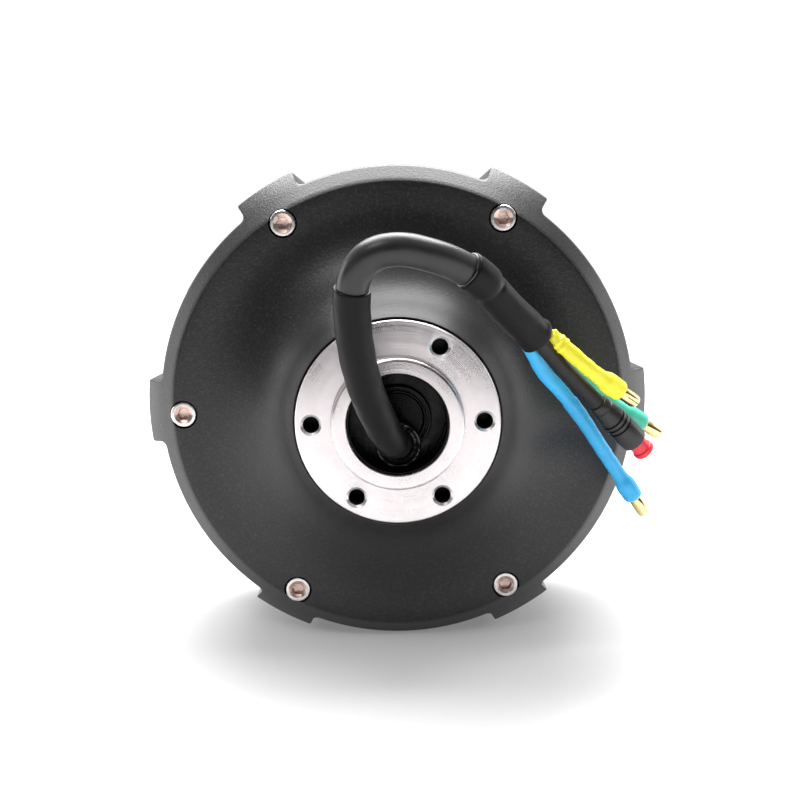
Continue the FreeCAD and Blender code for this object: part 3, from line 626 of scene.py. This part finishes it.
# %% [markdown]
# Each phase lead is a wire in a coloured shrink tube, which swells over the barrel of its plug.
# The plug is gold plated, and its pin is slit crosswise so that it grips inside the socket. Each
# tube starts a little before its solid does, so that its first stretch is tucked into the sleeve.

# %% Phase leads
sheaths = {"yellow": yellow_sheath, "blue": blue_sheath, "green": green_sheath}
sheath_radius = 1.85 * MM
swell_radius = 2.55 * MM
barrel_r = 1.95
barrel_end = 4.5
pin_r = 1.65
slit_at = 8.6 * MM
tucked_in = {"yellow": 2.5 * MM, "blue": 7.0 * MM, "green": 3.5 * MM}
waviness = {"yellow": 0.0, "blue": 1.0, "green": 2.0}
bullet_profile = [(0.0, barrel_r), (barrel_end, barrel_r), (4.75, barrel_r - 0.25), (5.0, pin_r - 0.1),
                  (5.4, pin_r), (9.4, pin_r + 0.04), (10.1, pin_r - 0.15), (10.5, pin_r - 0.65)]
SLAB_FACES = [(0, 1, 3, 2), (4, 6, 7, 5), (0, 4, 5, 1), (2, 3, 7, 6), (0, 2, 6, 4), (1, 5, 7, 3)]


def slab(place, a, b, c):
    """Corners of a box from its middle and three half edges."""
    return [place + a * i + b * j + c * k for i in (-1, 1) for j in (-1, 1) for k in (-1, 1)]


def start_of_sheath(name):
    """Where the solid tube starts: halfway along the lead's third run."""
    a, b = in_metres(lead_routes[name])[2:4]
    return a.lerp(b, 0.5)


def bullet_plug(name, track):
    """Barrel and slit pin, past the end of the lead."""
    rings = profile_rings(track, bullet_profile, 40)
    plug = rings_piece(name + "_bullet_plug", rings, gold_plate, False, 40)
    place, side, up, way = track.frame(track.length + slit_at)
    for across, thin in ((side, up), (up, side)):
        corners = slab(place, way * 2.4 * MM, across * 3 * MM, thin * 0.17 * MM)
        cut(plug, piece_of("cutter", corners, SLAB_FACES, gold_plate))
    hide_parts(name + "_bullet")
    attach(plug, "stator")
    return plug


def phase_lead(name):
    """Wire, shrink tube and plug. The yellow tube has two folds and the blue one a step."""
    wire = spline_curve(name + "_wire", lead_routes[name], wire_radius)
    wire.data.materials.append(sheaths[name])
    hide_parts(name + "_lead")
    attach(wire, "stator")
    track = Track(lead_lines[name])
    start = track.nearest(start_of_sheath(name)) - tucked_in[name]
    end = track.length + barrel_end * MM
    wave = waviness[name]

    def outside(s, a):
        r = sheath_radius
        r += (swell_radius - sheath_radius) * eased(s, track.length - 2.6 * MM, track.length - 0.2 * MM)
        r -= 0.25 * MM * eased(s, end - 0.6 * MM, end)
        r += 0.05 * MM * math.sin(s * 1500 + wave) * math.cos(2 * a + wave)
        frill = 0.18 * MM * bump_at(s, start, 0.8 * MM)
        if name == "yellow":
            first_fold = bump_at(s, start + 2.6 * MM, 0.45 * MM)
            second_fold = bump_at(s, start + 4.0 * MM, 0.35 * MM)
            r += first_fold * MM * (0.40 + 0.18 * math.sin(3 * a + 1)) + second_fold * 0.30 * MM
        if name == "blue":
            fold_at = start + 25.0 * MM
            r += 0.16 * MM * eased(s, fold_at, fold_at + 0.5 * MM)
            r -= 0.16 * MM * eased(s, fold_at + 3 * MM, fold_at + 12 * MM)
        return r + frill * math.sin(5 * a + wave)

    def inside(s, a):
        return wire_radius if s < track.length - 0.4 * MM else (barrel_r - 0.02) * MM

    tube = sleeve_piece(name + "_shrink_tube", track, start, end, outside, inside, sheaths[name],
                        40, 70)
    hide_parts(name + "_shrink")
    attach(tube, "stator")
    return wire, tube, bullet_plug(name, track)


leads = {name: phase_lead(name) for name in sheaths}

# %% Sensor lead, its plug and cap
sensor = spline_curve("sensor_cable", lead_routes["sensor"], sensor_radius)
sensor.data.materials.append(lead_black)
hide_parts("sensor_lead")
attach(sensor, "stator")
sensor_track = Track(lead_lines["sensor"])
first_groove = 5.8
groove_pitch = 1.35
plug_profile = [(0.0, 1.95), (0.1, 2.35), (0.5, 2.55), (1.6, 2.62), (1.75, 2.5), (2.1, 2.5),
                (2.25, 2.66), (5.4, 3.18)]
for k in range(3):
    groove = first_groove + groove_pitch * k
    plug_profile += [(groove, 3.22), (groove + 0.08, 2.8), (groove + 0.52, 2.8), (groove + 0.6, 3.24)]
plug_profile += [(9.7, 3.34), (14.2, 3.34), (14.7, 3.2), (15.0, 2.8)]
plug_rings = profile_rings(sensor_track, plug_profile, 48)
sensor_plug = rings_piece("sensor_plug", plug_rings, part_black, False, 28)
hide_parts("sensor_connector")
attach(sensor_plug, "stator")

cap_profile = [(14.9, 2.3), (17.6, 2.3), (17.75, 2.62), (18.0, 2.7), (18.8, 2.7), (19.0, 2.6),
               (19.2, 2.2)]
cap = rings_piece("plug_cap", profile_rings(sensor_track, cap_profile, 48), red_cap, False, 40)
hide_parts("sensor_cap")
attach(cap, "stator")


# %% [markdown]
# ## Flange and shaft
# The fork bolts to this face. It was turned in one piece with its raised spigot and bore, so it is
# one outline swept round the axis. Six tapped holes are cut afterwards, each with a bright chamfer.
# Their threaded walls are painted near black, as painted shade in the holes.

# %% Helpers for cutting
def plug_cutter(name, outline, material, x, z, count=48):
    """A solid turned about an axis along Y that meets the flange's plane at x, z."""
    return turned(name, outline, material, count, x, z, closed=False)


def on_circle(radius, angle):
    return radius * math.cos(math.radians(angle)), radius * math.sin(math.radians(angle))


# %% Turned outline of the flange and shaft
spigot_outline = [
    (0.0, 30.0), (bore_r, 30.0), (bore_r, -2.5), (12.72, -2.7), (12.9, spigot_y), (15.5, spigot_y),
    (15.75, -2.76), (16.0, -2.65), (16.2, -2.5), (16.35, -2.3), (16.45, -2.05), (16.5, -1.8),
    (16.5, -0.12), (16.62, 0.0),
]
flange_outline = [
    (25.0, 0.0), (25.2, 0.05), (25.45, 0.3), (flange_r, 0.5), (flange_r, 10.5), (20.5, 10.5),
    (20.5, 12.5),
]
journal_outline = [
    (17.5, 12.5), (17.5, 30.0), (15.0, 30.0), (15.0, 57.7), (14.7, 58.0), (10.0, 58.0), (10.0, 70.3),
    (9.5, 70.8), (0.0, 70.8),
]
shaft_outline = spigot_outline + flange_outline + journal_outline
flange = turned("fork_flange", shaft_outline, turned_alloy, 288, closed=False, smooth_angle=28)

# %% Tapped holes with a bright chamfer, and painted shade on the threaded walls
hole_r = 2.1
mouth_r = hole_r + 0.62
thread_pitch = 0.8
thread_depth = 0.22
thread = [(0.0, 9.0), (hole_r - 0.3, 9.0)]
for turn_at in range(11):
    y = 8.6 - thread_pitch * turn_at
    thread += [(hole_r, y), (hole_r - thread_depth, y - thread_pitch / 2)]
thread += [(hole_r, 0.05), (hole_r, -1.0), (0.0, -1.0)]
chamfer = [(0.0, 0.6), (hole_r - 0.05, 0.55), (mouth_r, -0.05), (mouth_r, -1.0), (0.0, -1.0)]
for k in range(around):
    x, z = on_circle(tapped_circle_r, 360 / around * k)
    # The threaded walls take the near-black finish, which is painted shade inside the holes.
    cut_sharp(flange, plug_cutter("thread", thread, thread_painted_shade, x, z, 40))
    cut_sharp(flange, plug_cutter("mouth", chamfer, bright_edge, x, z, 40))
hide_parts("flange_shaft")
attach(flange, "stator")
print("flange faces:", len(flange.data.polygons))

# %% [markdown]
# ## Inside the bore
# Black resin seals the bore. A shelf ring stands on it, with two edges that catch the light, and a
# glossy rubber grommet holds the cable low in the bore. Fine ridges run across the resin.

# %% Liner, shelf and resin
bore_outline = [
    (0.0, 29.5), (12.58, 29.5), (12.58, -1.6), (12.5, -1.7), (12.25, -1.7), (12.1, -1.4), (12.05, 4.0),
    (11.9, 8.0), (8.7, 8.0), (8.6, 6.2), (8.5, 5.8), (8.3, 5.6), (7.95, 5.6), (7.85, 5.75), (7.8, 6.4),
    (7.3, 6.5), (7.2, 6.1), (7.05, 5.95), (6.85, 5.95), (6.75, 6.1), (6.7, 6.9),
]
ridge_pitch = 0.6
for k in range(9):
    ridge = 6.4 - ridge_pitch * k
    bore_outline += [(ridge, 7.3), (ridge - 0.12, 6.95), (ridge - 0.32, 6.95), (ridge - 0.44, 7.3)]
bore_outline += [(1.0, 7.4), (0.0, 7.4)]
bore_fill = turned("bore_resin", bore_outline, black_resin, 160, closed=False, smooth_angle=34)
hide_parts("bore_potting")
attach(bore_fill, "stator")

# %% Cable grommet
grommet_outline = [
    (3.3, 8.0), (5.8, 8.0), (5.8, 3.6), (5.7, 3.15), (5.45, 2.95), (5.15, 3.0), (4.95, 3.3), (4.8, 3.9),
    (4.5, 4.3), (4.1, 4.2), (3.8, 3.9), (3.6, 4.1), (3.4, 5.0),
]
grommet = turned("cable_grommet", grommet_outline, collar_rubber, 96, 0.0, cable_z)
wavy_above = 4.6 * MM
for vertex in grommet.data.vertices:
    if vertex.co.y < wavy_above:
        a = math.atan2(vertex.co.z - cable_z * MM, vertex.co.x)
        vertex.co.y += 0.16 * MM * math.sin(7 * a) + 0.10 * MM * math.sin(13 * a + 1)
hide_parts("cable_collar")
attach(grommet, "stator")

# %% [markdown]
# ## Covers and ring
# Both covers and the ring share one outline: a disc with six lugs whose roots are rounded. Cover
# and ring are castings with a black coat, so every edge is slightly soft.

# %% Lug outline
lug_half_angle = 7.3
lug_corner = 0.5
root_r = 1.7
top_steps = 9
root_steps = 6
rim_steps = 16


def sector_outline():
    """Radius and angle of the outline from one sector's middle (a lug) to its end, 30 degrees on."""
    offset = math.degrees(math.asin(root_r / (ring_edge_r + root_r)))
    flank_low = (ring_edge_r + root_r) * math.cos(math.radians(offset))
    spots = [(lug_edge_r, lug_half_angle * k / top_steps) for k in range(top_steps)]
    spots.append((lug_edge_r, lug_half_angle - 0.42))
    spots.append((lug_edge_r - 0.15, lug_half_angle - 0.12))
    spots.append((lug_edge_r - lug_corner, lug_half_angle))
    spots.append(((lug_edge_r + flank_low) / 2, lug_half_angle))
    centre = on_circle(ring_edge_r + root_r, lug_half_angle + offset)
    start = math.radians(lug_half_angle - 90)
    end = math.radians(lug_half_angle + offset - 180)
    for k in range(root_steps + 1):
        a = start + (end - start) * k / root_steps
        x, z = centre[0] + root_r * math.cos(a), centre[1] + root_r * math.sin(a)
        spots.append((math.hypot(x, z), math.degrees(math.atan2(z, x))))
    first = spots[-1][1]
    last = 180 / around
    spots += [(ring_edge_r, first + (last - first) * k / rim_steps) for k in range(1, rim_steps + 1)]
    return spots


half_sector = sector_outline()
outline = []
for k in range(around):
    outline += [(r, 60 * k + a) for r, a in half_sector[:-1]]
    outline += [(r, 60 * (k + 1) - a) for r, a in half_sector[:0:-1]]
spots_round = len(outline)
even_angles = [360 * k / spots_round for k in range(spots_round)]
print("points round the outline:", spots_round)


def inset(amount):
    """The outline moved inwards by an amount, square to itself."""
    flat = [on_circle(r, a) for r, a in outline]
    moved = []
    for k, (x, z) in enumerate(flat):
        ax, az = flat[k - 1]
        bx, bz = flat[(k + 1) % spots_round]
        length = math.hypot(bx - ax, bz - az)
        moved.append((x - amount * (bz - az) / length, z + amount * (bx - ax) / length))
    return moved


def ring_point(r, angle, y):
    x, z = on_circle(r, angle)
    return Vector((x, y, z)) * MM


def even_ring(r, y):
    return [ring_point(r, a, y) for a in even_angles]


def mixed_ring(r, share, y):
    """A circle whose points move from even steps to the outline's own angles as share goes to 1."""
    return [ring_point(r, even + (spot[1] - even) * share, y)
            for even, spot in zip(even_angles, outline)]


def outline_ring(amount, y_of):
    """The outline, inset by an amount, at the height that y_of gives for each radius."""
    return [Vector((x, y_of(math.hypot(x, z)), z)) * MM for x, z in inset(amount)]


def flat_outline(amount, y):
    return outline_ring(amount, lambda r: y)


def cone_y(r):
    """Height of the sloped rim at a radius."""
    return crest_y + rim_slope * (r - crest_outer_r)


def sink_screws(cover, circle_r, bottom_y, seat_y, open_y):
    """Cut a clearance hole and a counterbore, with an edge softened at the seat, for each screw."""
    edge_y = seat_y + math.copysign(0.1, open_y - seat_y)
    pocket = [(0.0, bottom_y), (2.15, bottom_y), (2.15, seat_y), (3.7, seat_y), (3.8, edge_y),
              (3.8, open_y), (0.0, open_y)]
    for k in range(around):
        x, z = on_circle(circle_r, 360 / around * k)
        # The pocket walls take a finish darker than the coat, which is painted shade in each pocket.
        cut_sharp(cover, plug_cutter("pocket", pocket, pocket_painted_shade, x, z))


# %% [markdown]
# The dish is an arc that meets the flat crest without a kink. Towards the flange it runs on as a
# cone of 60 degrees, down to a thin rounded edge that leaves a narrow gap to the flange. Outside the
# crest the rim slopes back at about 46 degrees and spreads over the lugs.

# %% Front cover
lip_r = 26.1
lip_y = 1.2
steepest = math.radians(60)
rim_slope = 1.05
slope_r = 60.15
edge_ring_r = 63.9
seam_bevel = 0.3
dish_steps = 28
drop = (crest_inner_r - lip_r) * math.tan(steepest) - (crest_y - lip_y)
dish_radius = drop / (math.tan(steepest) * math.sin(steepest) + math.cos(steepest) - 1)
cone_end = crest_inner_r - dish_radius * math.sin(steepest)
cover = [even_ring(r, y) for r, y in ((lip_r, 4.4), (25.85, 4.1), (25.85, 1.5), (25.93, 1.28),
                                      (26.05, lip_y), (26.16, 1.24), (26.25, 1.38))]
for r in stations(lip_r + 0.3, cone_end, 8)[:-1]:
    cover.append(even_ring(r, lip_y + (r - lip_r) * math.tan(steepest)))
for k in range(dish_steps):
    a = steepest * (1 - k / dish_steps)
    cover.append(even_ring(crest_inner_r - dish_radius * math.sin(a),
                           crest_y - dish_radius * (1 - math.cos(a))))
cover += [even_ring(r, y) for r, y in ((crest_inner_r, crest_y), (57.0, crest_y), (59.6, crest_y),
                                       (59.85, crest_y + 0.03), (slope_r, crest_y + 0.2))]
for share in (0.25, 0.5, 0.75, 1.0):
    r = slope_r + (edge_ring_r - slope_r) * share
    cover.append(mixed_ring(r, share, cone_y(r)))
cover += [outline_ring(0.35, cone_y), outline_ring(0.1, lambda r: cone_y(r) + 0.16),
          outline_ring(0.0, lambda r: cone_y(r) + 0.5), flat_outline(0.0, ring_front_y - seam_bevel),
          flat_outline(seam_bevel, ring_front_y), mixed_ring(edge_ring_r, 1.0, ring_front_y)]
cover += [even_ring(r, y) for r, y in ((53.95, ring_front_y), (53.95, 33.5), (51.95, 33.5),
                                       (51.95, 29.5), (48.95, 26.5), (34.0, 26.5), (32.0, 24.3),
                                       (27.5, 24.3), (27.5, 12.5), (lip_r, 12.5))]
front_cover = rings_piece("dished_cover", cover, black_coat, True, 32)
sink_screws(front_cover, front_screw_circle_r, 33.0, front_seat_y, 15.0)
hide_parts("front_cover")
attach(front_cover, "rotor")

# %% Rotor ring
ring_rings = [even_ring(register_r, ring_front_y), mixed_ring(edge_ring_r, 1.0, ring_front_y),
              flat_outline(seam_bevel, ring_front_y), flat_outline(0.0, ring_front_y + seam_bevel),
              flat_outline(0.0, ring_back_y - seam_bevel), flat_outline(seam_bevel, ring_back_y),
              mixed_ring(edge_ring_r, 1.0, ring_back_y), even_ring(ring_bore_r, ring_back_y),
              even_ring(ring_bore_r, 38.0), even_ring(register_r, 38.0)]
rotor_ring = rings_piece("lugged_ring", ring_rings, black_coat, True, 32)
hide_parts("rotor_ring")
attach(rotor_ring, "rotor")


# %% [markdown]
# The back isn't in the photograph. It is a plain cover with a shallow dish and a boss over the rear
# bearing. Its flat outer face stops short of the lugs' ends, which are bevelled.

# %% Back cover
flat_end_r = 67.8


def back_y(r):
    return back_face_y - max(0.0, r - flat_end_r)


wall_top = outline_ring(0.35, back_y)
flat_edge = []
for corner in wall_top:
    r = math.hypot(corner.x, corner.z)
    shrink = min(1.0, min(r / MM - 0.05, flat_end_r) * MM / r)
    flat_edge.append(Vector((corner.x * shrink, back_face_y * MM, corner.z * shrink)))
back = [even_ring(r, y) for r, y in ((0.0, back_boss_y), (27.7, back_boss_y), (28.1, 75.45),
                                     (29.85, 73.15), (30.3, 73.0), (52.3, 73.0), (52.7, 73.15),
                                     (53.8, 73.9), (54.2, back_face_y), (60.0, back_face_y))]
back += [mixed_ring(62.0, 0.5, back_face_y), mixed_ring(edge_ring_r, 1.0, back_face_y), flat_edge,
         wall_top, outline_ring(0.0, lambda r: back_y(r) - 0.4),
         flat_outline(0.0, ring_back_y + seam_bevel), flat_outline(seam_bevel, ring_back_y),
         mixed_ring(edge_ring_r, 1.0, ring_back_y)]
back += [even_ring(r, y) for r, y in ((59.95, ring_back_y), (59.95, 64.0), (56.45, 64.0),
                                      (56.45, ring_back_y), (53.0, ring_back_y),
                                      (53.0, 70.0), (25.5, 70.0), (25.5, 57.5),
                                      (21.0, 57.5), (21.0, 71.2), (0.0, 71.2))]
back_cover = rings_piece("bearing_cover", back, black_coat, False, 32)
sink_screws(back_cover, rear_screw_circle_r, 60.0, rear_seat_y, 80.0)
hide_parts("back_cover")
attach(back_cover, "rotor")

# %% [markdown]
# ## Cap screws
# Twelve screws are all the same, so Geometry Nodes place them: one screw, a circle of points and an
# instance on each. The faces of the hexagon socket carry an attribute, which gives them their own
# browner, pinker steel.

# %% One socket head cap screw
screw_sides = 48
hexagon_across = 3.0
socket_edge_r = 2.43


def cap_screw():
    """A screw along +Y, its seat at the origin and its head towards -Y."""
    angles = [360 * k / screw_sides for k in range(screw_sides)]
    hexagon = [hexagon_across / 2 / math.cos(math.radians(a % 60 - 30)) for a in angles]
    round_rings = [(0.0, 12.0), (1.5, 12.0), (1.97, 11.5), (1.97, 0.3), (2.1, 0.0), (3.35, 0.0),
                   (3.5, -0.15), (3.5, -3.5), (3.42, -3.75), (3.2, -3.95), (2.95, -4.0), (2.5, -4.0),
                   (2.42, -3.94)]
    rings = [[ring_point(r, a, y) for a in angles] for r, y in round_rings]
    for grow, y in ((0.12, -3.62), (0.0, -3.5), (0.0, -1.8), (-0.02, -1.78)):
        rings.append([ring_point(r + grow, a, y) for r, a in zip(hexagon, angles)])
    rings.append([ring_point(0.0, 0.0, -1.4)] * screw_sides)
    screw = rings_piece("cap_screw", rings, screw_steel, False, 30)
    marks = screw.data.attributes.new("socket", "BOOLEAN", "FACE")
    for face in screw.data.polygons:
        near = math.hypot(face.center.x, face.center.z) < socket_edge_r * MM
        marks.data[face.index].value = near and face.center.y < -1.0 * MM
    return screw


# %% Tree that sets a screw on each point of a circle
def screw_circle_tree():
    tree = bpy.data.node_groups.new("screws on a circle", "GeometryNodeTree")
    face = tree.interface
    face.new_socket("Screw", in_out="INPUT", socket_type="NodeSocketGeometry")
    for label, kind in (("Count", "Int"), ("Circle radius", "Float"), ("Seat", "Float"),
                        ("Flip", "Float"), ("Head finish", "Material"), ("Socket finish", "Material")):
        face.new_socket(label, in_out="INPUT", socket_type="NodeSocket" + kind)
    face.new_socket("Screws", in_out="OUTPUT", socket_type="NodeSocketGeometry")
    nodes, link = tree.nodes, tree.links.new
    given, out = nodes.new("NodeGroupInput"), nodes.new("NodeGroupOutput")
    circle = nodes.new("GeometryNodeMeshCircle")
    link(given.outputs["Count"], circle.inputs["Vertices"])
    link(given.outputs["Circle radius"], circle.inputs["Radius"])
    stand = nodes.new("GeometryNodeTransform")
    stand.inputs["Rotation"].default_value = (math.pi / 2, 0, 0)
    place = nodes.new("ShaderNodeCombineXYZ")
    link(given.outputs["Seat"], place.inputs["Y"])
    link(circle.outputs["Mesh"], stand.inputs["Geometry"])
    link(place.outputs[0], stand.inputs["Translation"])
    aim = nodes.new("ShaderNodeCombineXYZ")
    link(given.outputs["Flip"], aim.inputs["Z"])
    setting = nodes.new("GeometryNodeInstanceOnPoints")
    link(stand.outputs["Geometry"], setting.inputs["Points"])
    link(given.outputs["Screw"], setting.inputs["Instance"])
    link(aim.outputs[0], setting.inputs["Rotation"])
    real = nodes.new("GeometryNodeRealizeInstances")
    link(setting.outputs["Instances"], real.inputs["Geometry"])
    head = nodes.new("GeometryNodeSetMaterial")
    link(real.outputs["Geometry"], head.inputs["Geometry"])
    link(given.outputs["Head finish"], head.inputs["Material"])
    marked = nodes.new("GeometryNodeInputNamedAttribute")
    marked.data_type = "BOOLEAN"
    marked.inputs["Name"].default_value = "socket"
    socket = nodes.new("GeometryNodeSetMaterial")
    link(head.outputs["Geometry"], socket.inputs["Geometry"])
    link(marked.outputs["Attribute"], socket.inputs["Selection"])
    link(given.outputs["Socket finish"], socket.inputs["Material"])
    link(socket.outputs["Geometry"], out.inputs["Screws"])
    return tree


screw_tree = screw_circle_tree()


def screws_on_circle(name, radius, seat, flip, node):
    screws = cap_screw()
    screws.name = name
    made = screws.modifiers.new("screws", "NODES")
    made.node_group = screw_tree
    values = {"Count": around, "Circle radius": radius * MM, "Seat": seat * MM, "Flip": flip,
              "Head finish": screw_steel, "Socket finish": socket_steel}
    for item in screw_tree.interface.items_tree:
        if item.in_out == "INPUT" and item.name in values:
            made[item.identifier] = values[item.name]
    settled(screws)
    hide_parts(node)
    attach(screws, "rotor")
    print(name, "faces:", len(screws.data.polygons), "finishes:", len(screws.data.materials))


screws_on_circle("front_screws", front_screw_circle_r, front_seat_y, 0.0, "front_cover_screws")
screws_on_circle("rear_screws", rear_screw_circle_r, rear_seat_y, math.pi, "rear_cover_screws")


# %% [markdown]
# ## Studio
# Floor and surround look pure white from the camera. A wide soft light above and behind brightens
# the top of the rim and the inside of the dish, two at the sides light the lugs, and a small one in
# front lifts the rest. The room in front is dim, which keeps the black coat dark.

# %% Floor
floor_z = -ring_edge_r * MM
reach = 3.0
near_glow = 0.20
far_glow = 1.1
glow_starts = 0.17
glow_full = 0.50
glow_share_on_the_motor = 0.5
floor_mesh = bpy.data.meshes.new("floor")
floor_mesh.from_pydata([(-reach, -reach, floor_z), (reach, -reach, floor_z),
                        (reach, reach, floor_z), (-reach, reach, floor_z)], [], [(0, 1, 2, 3)])
floor = bpy.data.objects.new("floor", floor_mesh)
bpy.context.collection.objects.link(floor)
paper = bpy.data.materials.new("white paper")
paper.use_nodes = True
paper_tree = paper.node_tree
paper_shader = paper_tree.nodes["Principled BSDF"]
paper_shader.inputs["Base Color"].default_value = (0.68, 0.68, 0.68, 1)
paper_shader.inputs["Roughness"].default_value = 0.8
paper_shader.inputs["Emission Strength"].default_value = 1.0
distance = paper_tree.nodes.new("ShaderNodeVectorMath")
distance.operation = "LENGTH"
paper_tree.links.new(paper_tree.nodes.new("ShaderNodeTexCoord").outputs["Object"], distance.inputs[0])
far_off = spread(paper_tree, distance.outputs["Value"], glow_starts, glow_full)
looked_at = paper_tree.nodes.new("ShaderNodeLightPath").outputs["Is Camera Ray"]
lift = spread(paper_tree, looked_at, 0.0, 1.0, glow_share_on_the_motor, 1.0)
glow = mixed(paper_tree, maths(paper_tree, "MULTIPLY", far_off, lift), [near_glow] * 3, [far_glow] * 3)
paper_tree.links.new(glow, paper_shader.inputs["Emission Color"])
floor_mesh.materials.append(paper)

# %% Lights
def soft_light(name, place, target, size, watts):
    """A rectangle of light that faces its target."""
    data = bpy.data.lights.new(name, "AREA")
    data.shape = "RECTANGLE"
    data.size, data.size_y = size
    data.energy = watts
    obj = bpy.data.objects.new(name, data)
    obj.location = place
    obj.rotation_euler = (Vector(target) - Vector(place)).to_track_quat("-Z", "Y").to_euler()
    bpy.context.collection.objects.link(obj)
    return obj


soft_light("overhead", (0.0, 0.29, 0.60), (0, 0.03, 0), (0.75, 0.50), 13.0)
soft_light("left", (-0.75, 0.28, 0.12), (0, 0, 0), (0.40, 0.5), 1.35)
soft_light("right", (0.75, 0.28, 0.12), (0, 0, 0), (0.40, 0.5), 1.35)
soft_light("front", (-0.26, -0.42, 0.66), (0, 0, 0), (0.24, 0.24), 1.1)

# %% Surround
# The camera sees white. The surfaces see white behind and above, and a dim room in front.
dim_room = 0.045
white_room = 1.0
seen_room = 1.05
world = bpy.data.worlds.new("surround")
bpy.context.scene.world = world
world.use_nodes = True
tree = world.node_tree
background = tree.nodes["Background"]
direction = tree.nodes.new("ShaderNodeSeparateXYZ")
tree.links.new(tree.nodes.new("ShaderNodeTexCoord").outputs["Generated"], direction.inputs[0])
height = maths(tree, "MULTIPLY", direction.outputs["Z"], 0.7)
lean = maths(tree, "ADD", maths(tree, "MULTIPLY", direction.outputs["Y"], 0.6), height)
room = spread(tree, lean, -0.1, 0.8, dim_room, white_room)
seen = tree.nodes.new("ShaderNodeLightPath").outputs["Is Camera Ray"]
level = tree.nodes.new("ShaderNodeMix")
tree.links.new(seen, level.inputs["Factor"])
tree.links.new(room, level.inputs["A"])
level.inputs["B"].default_value = seen_room
background.inputs["Color"].default_value = (1.0, 0.985, 0.99, 1)
tree.links.new(level.outputs["Result"], background.inputs["Strength"])
bpy.context.scene.view_settings.view_transform = "Standard"
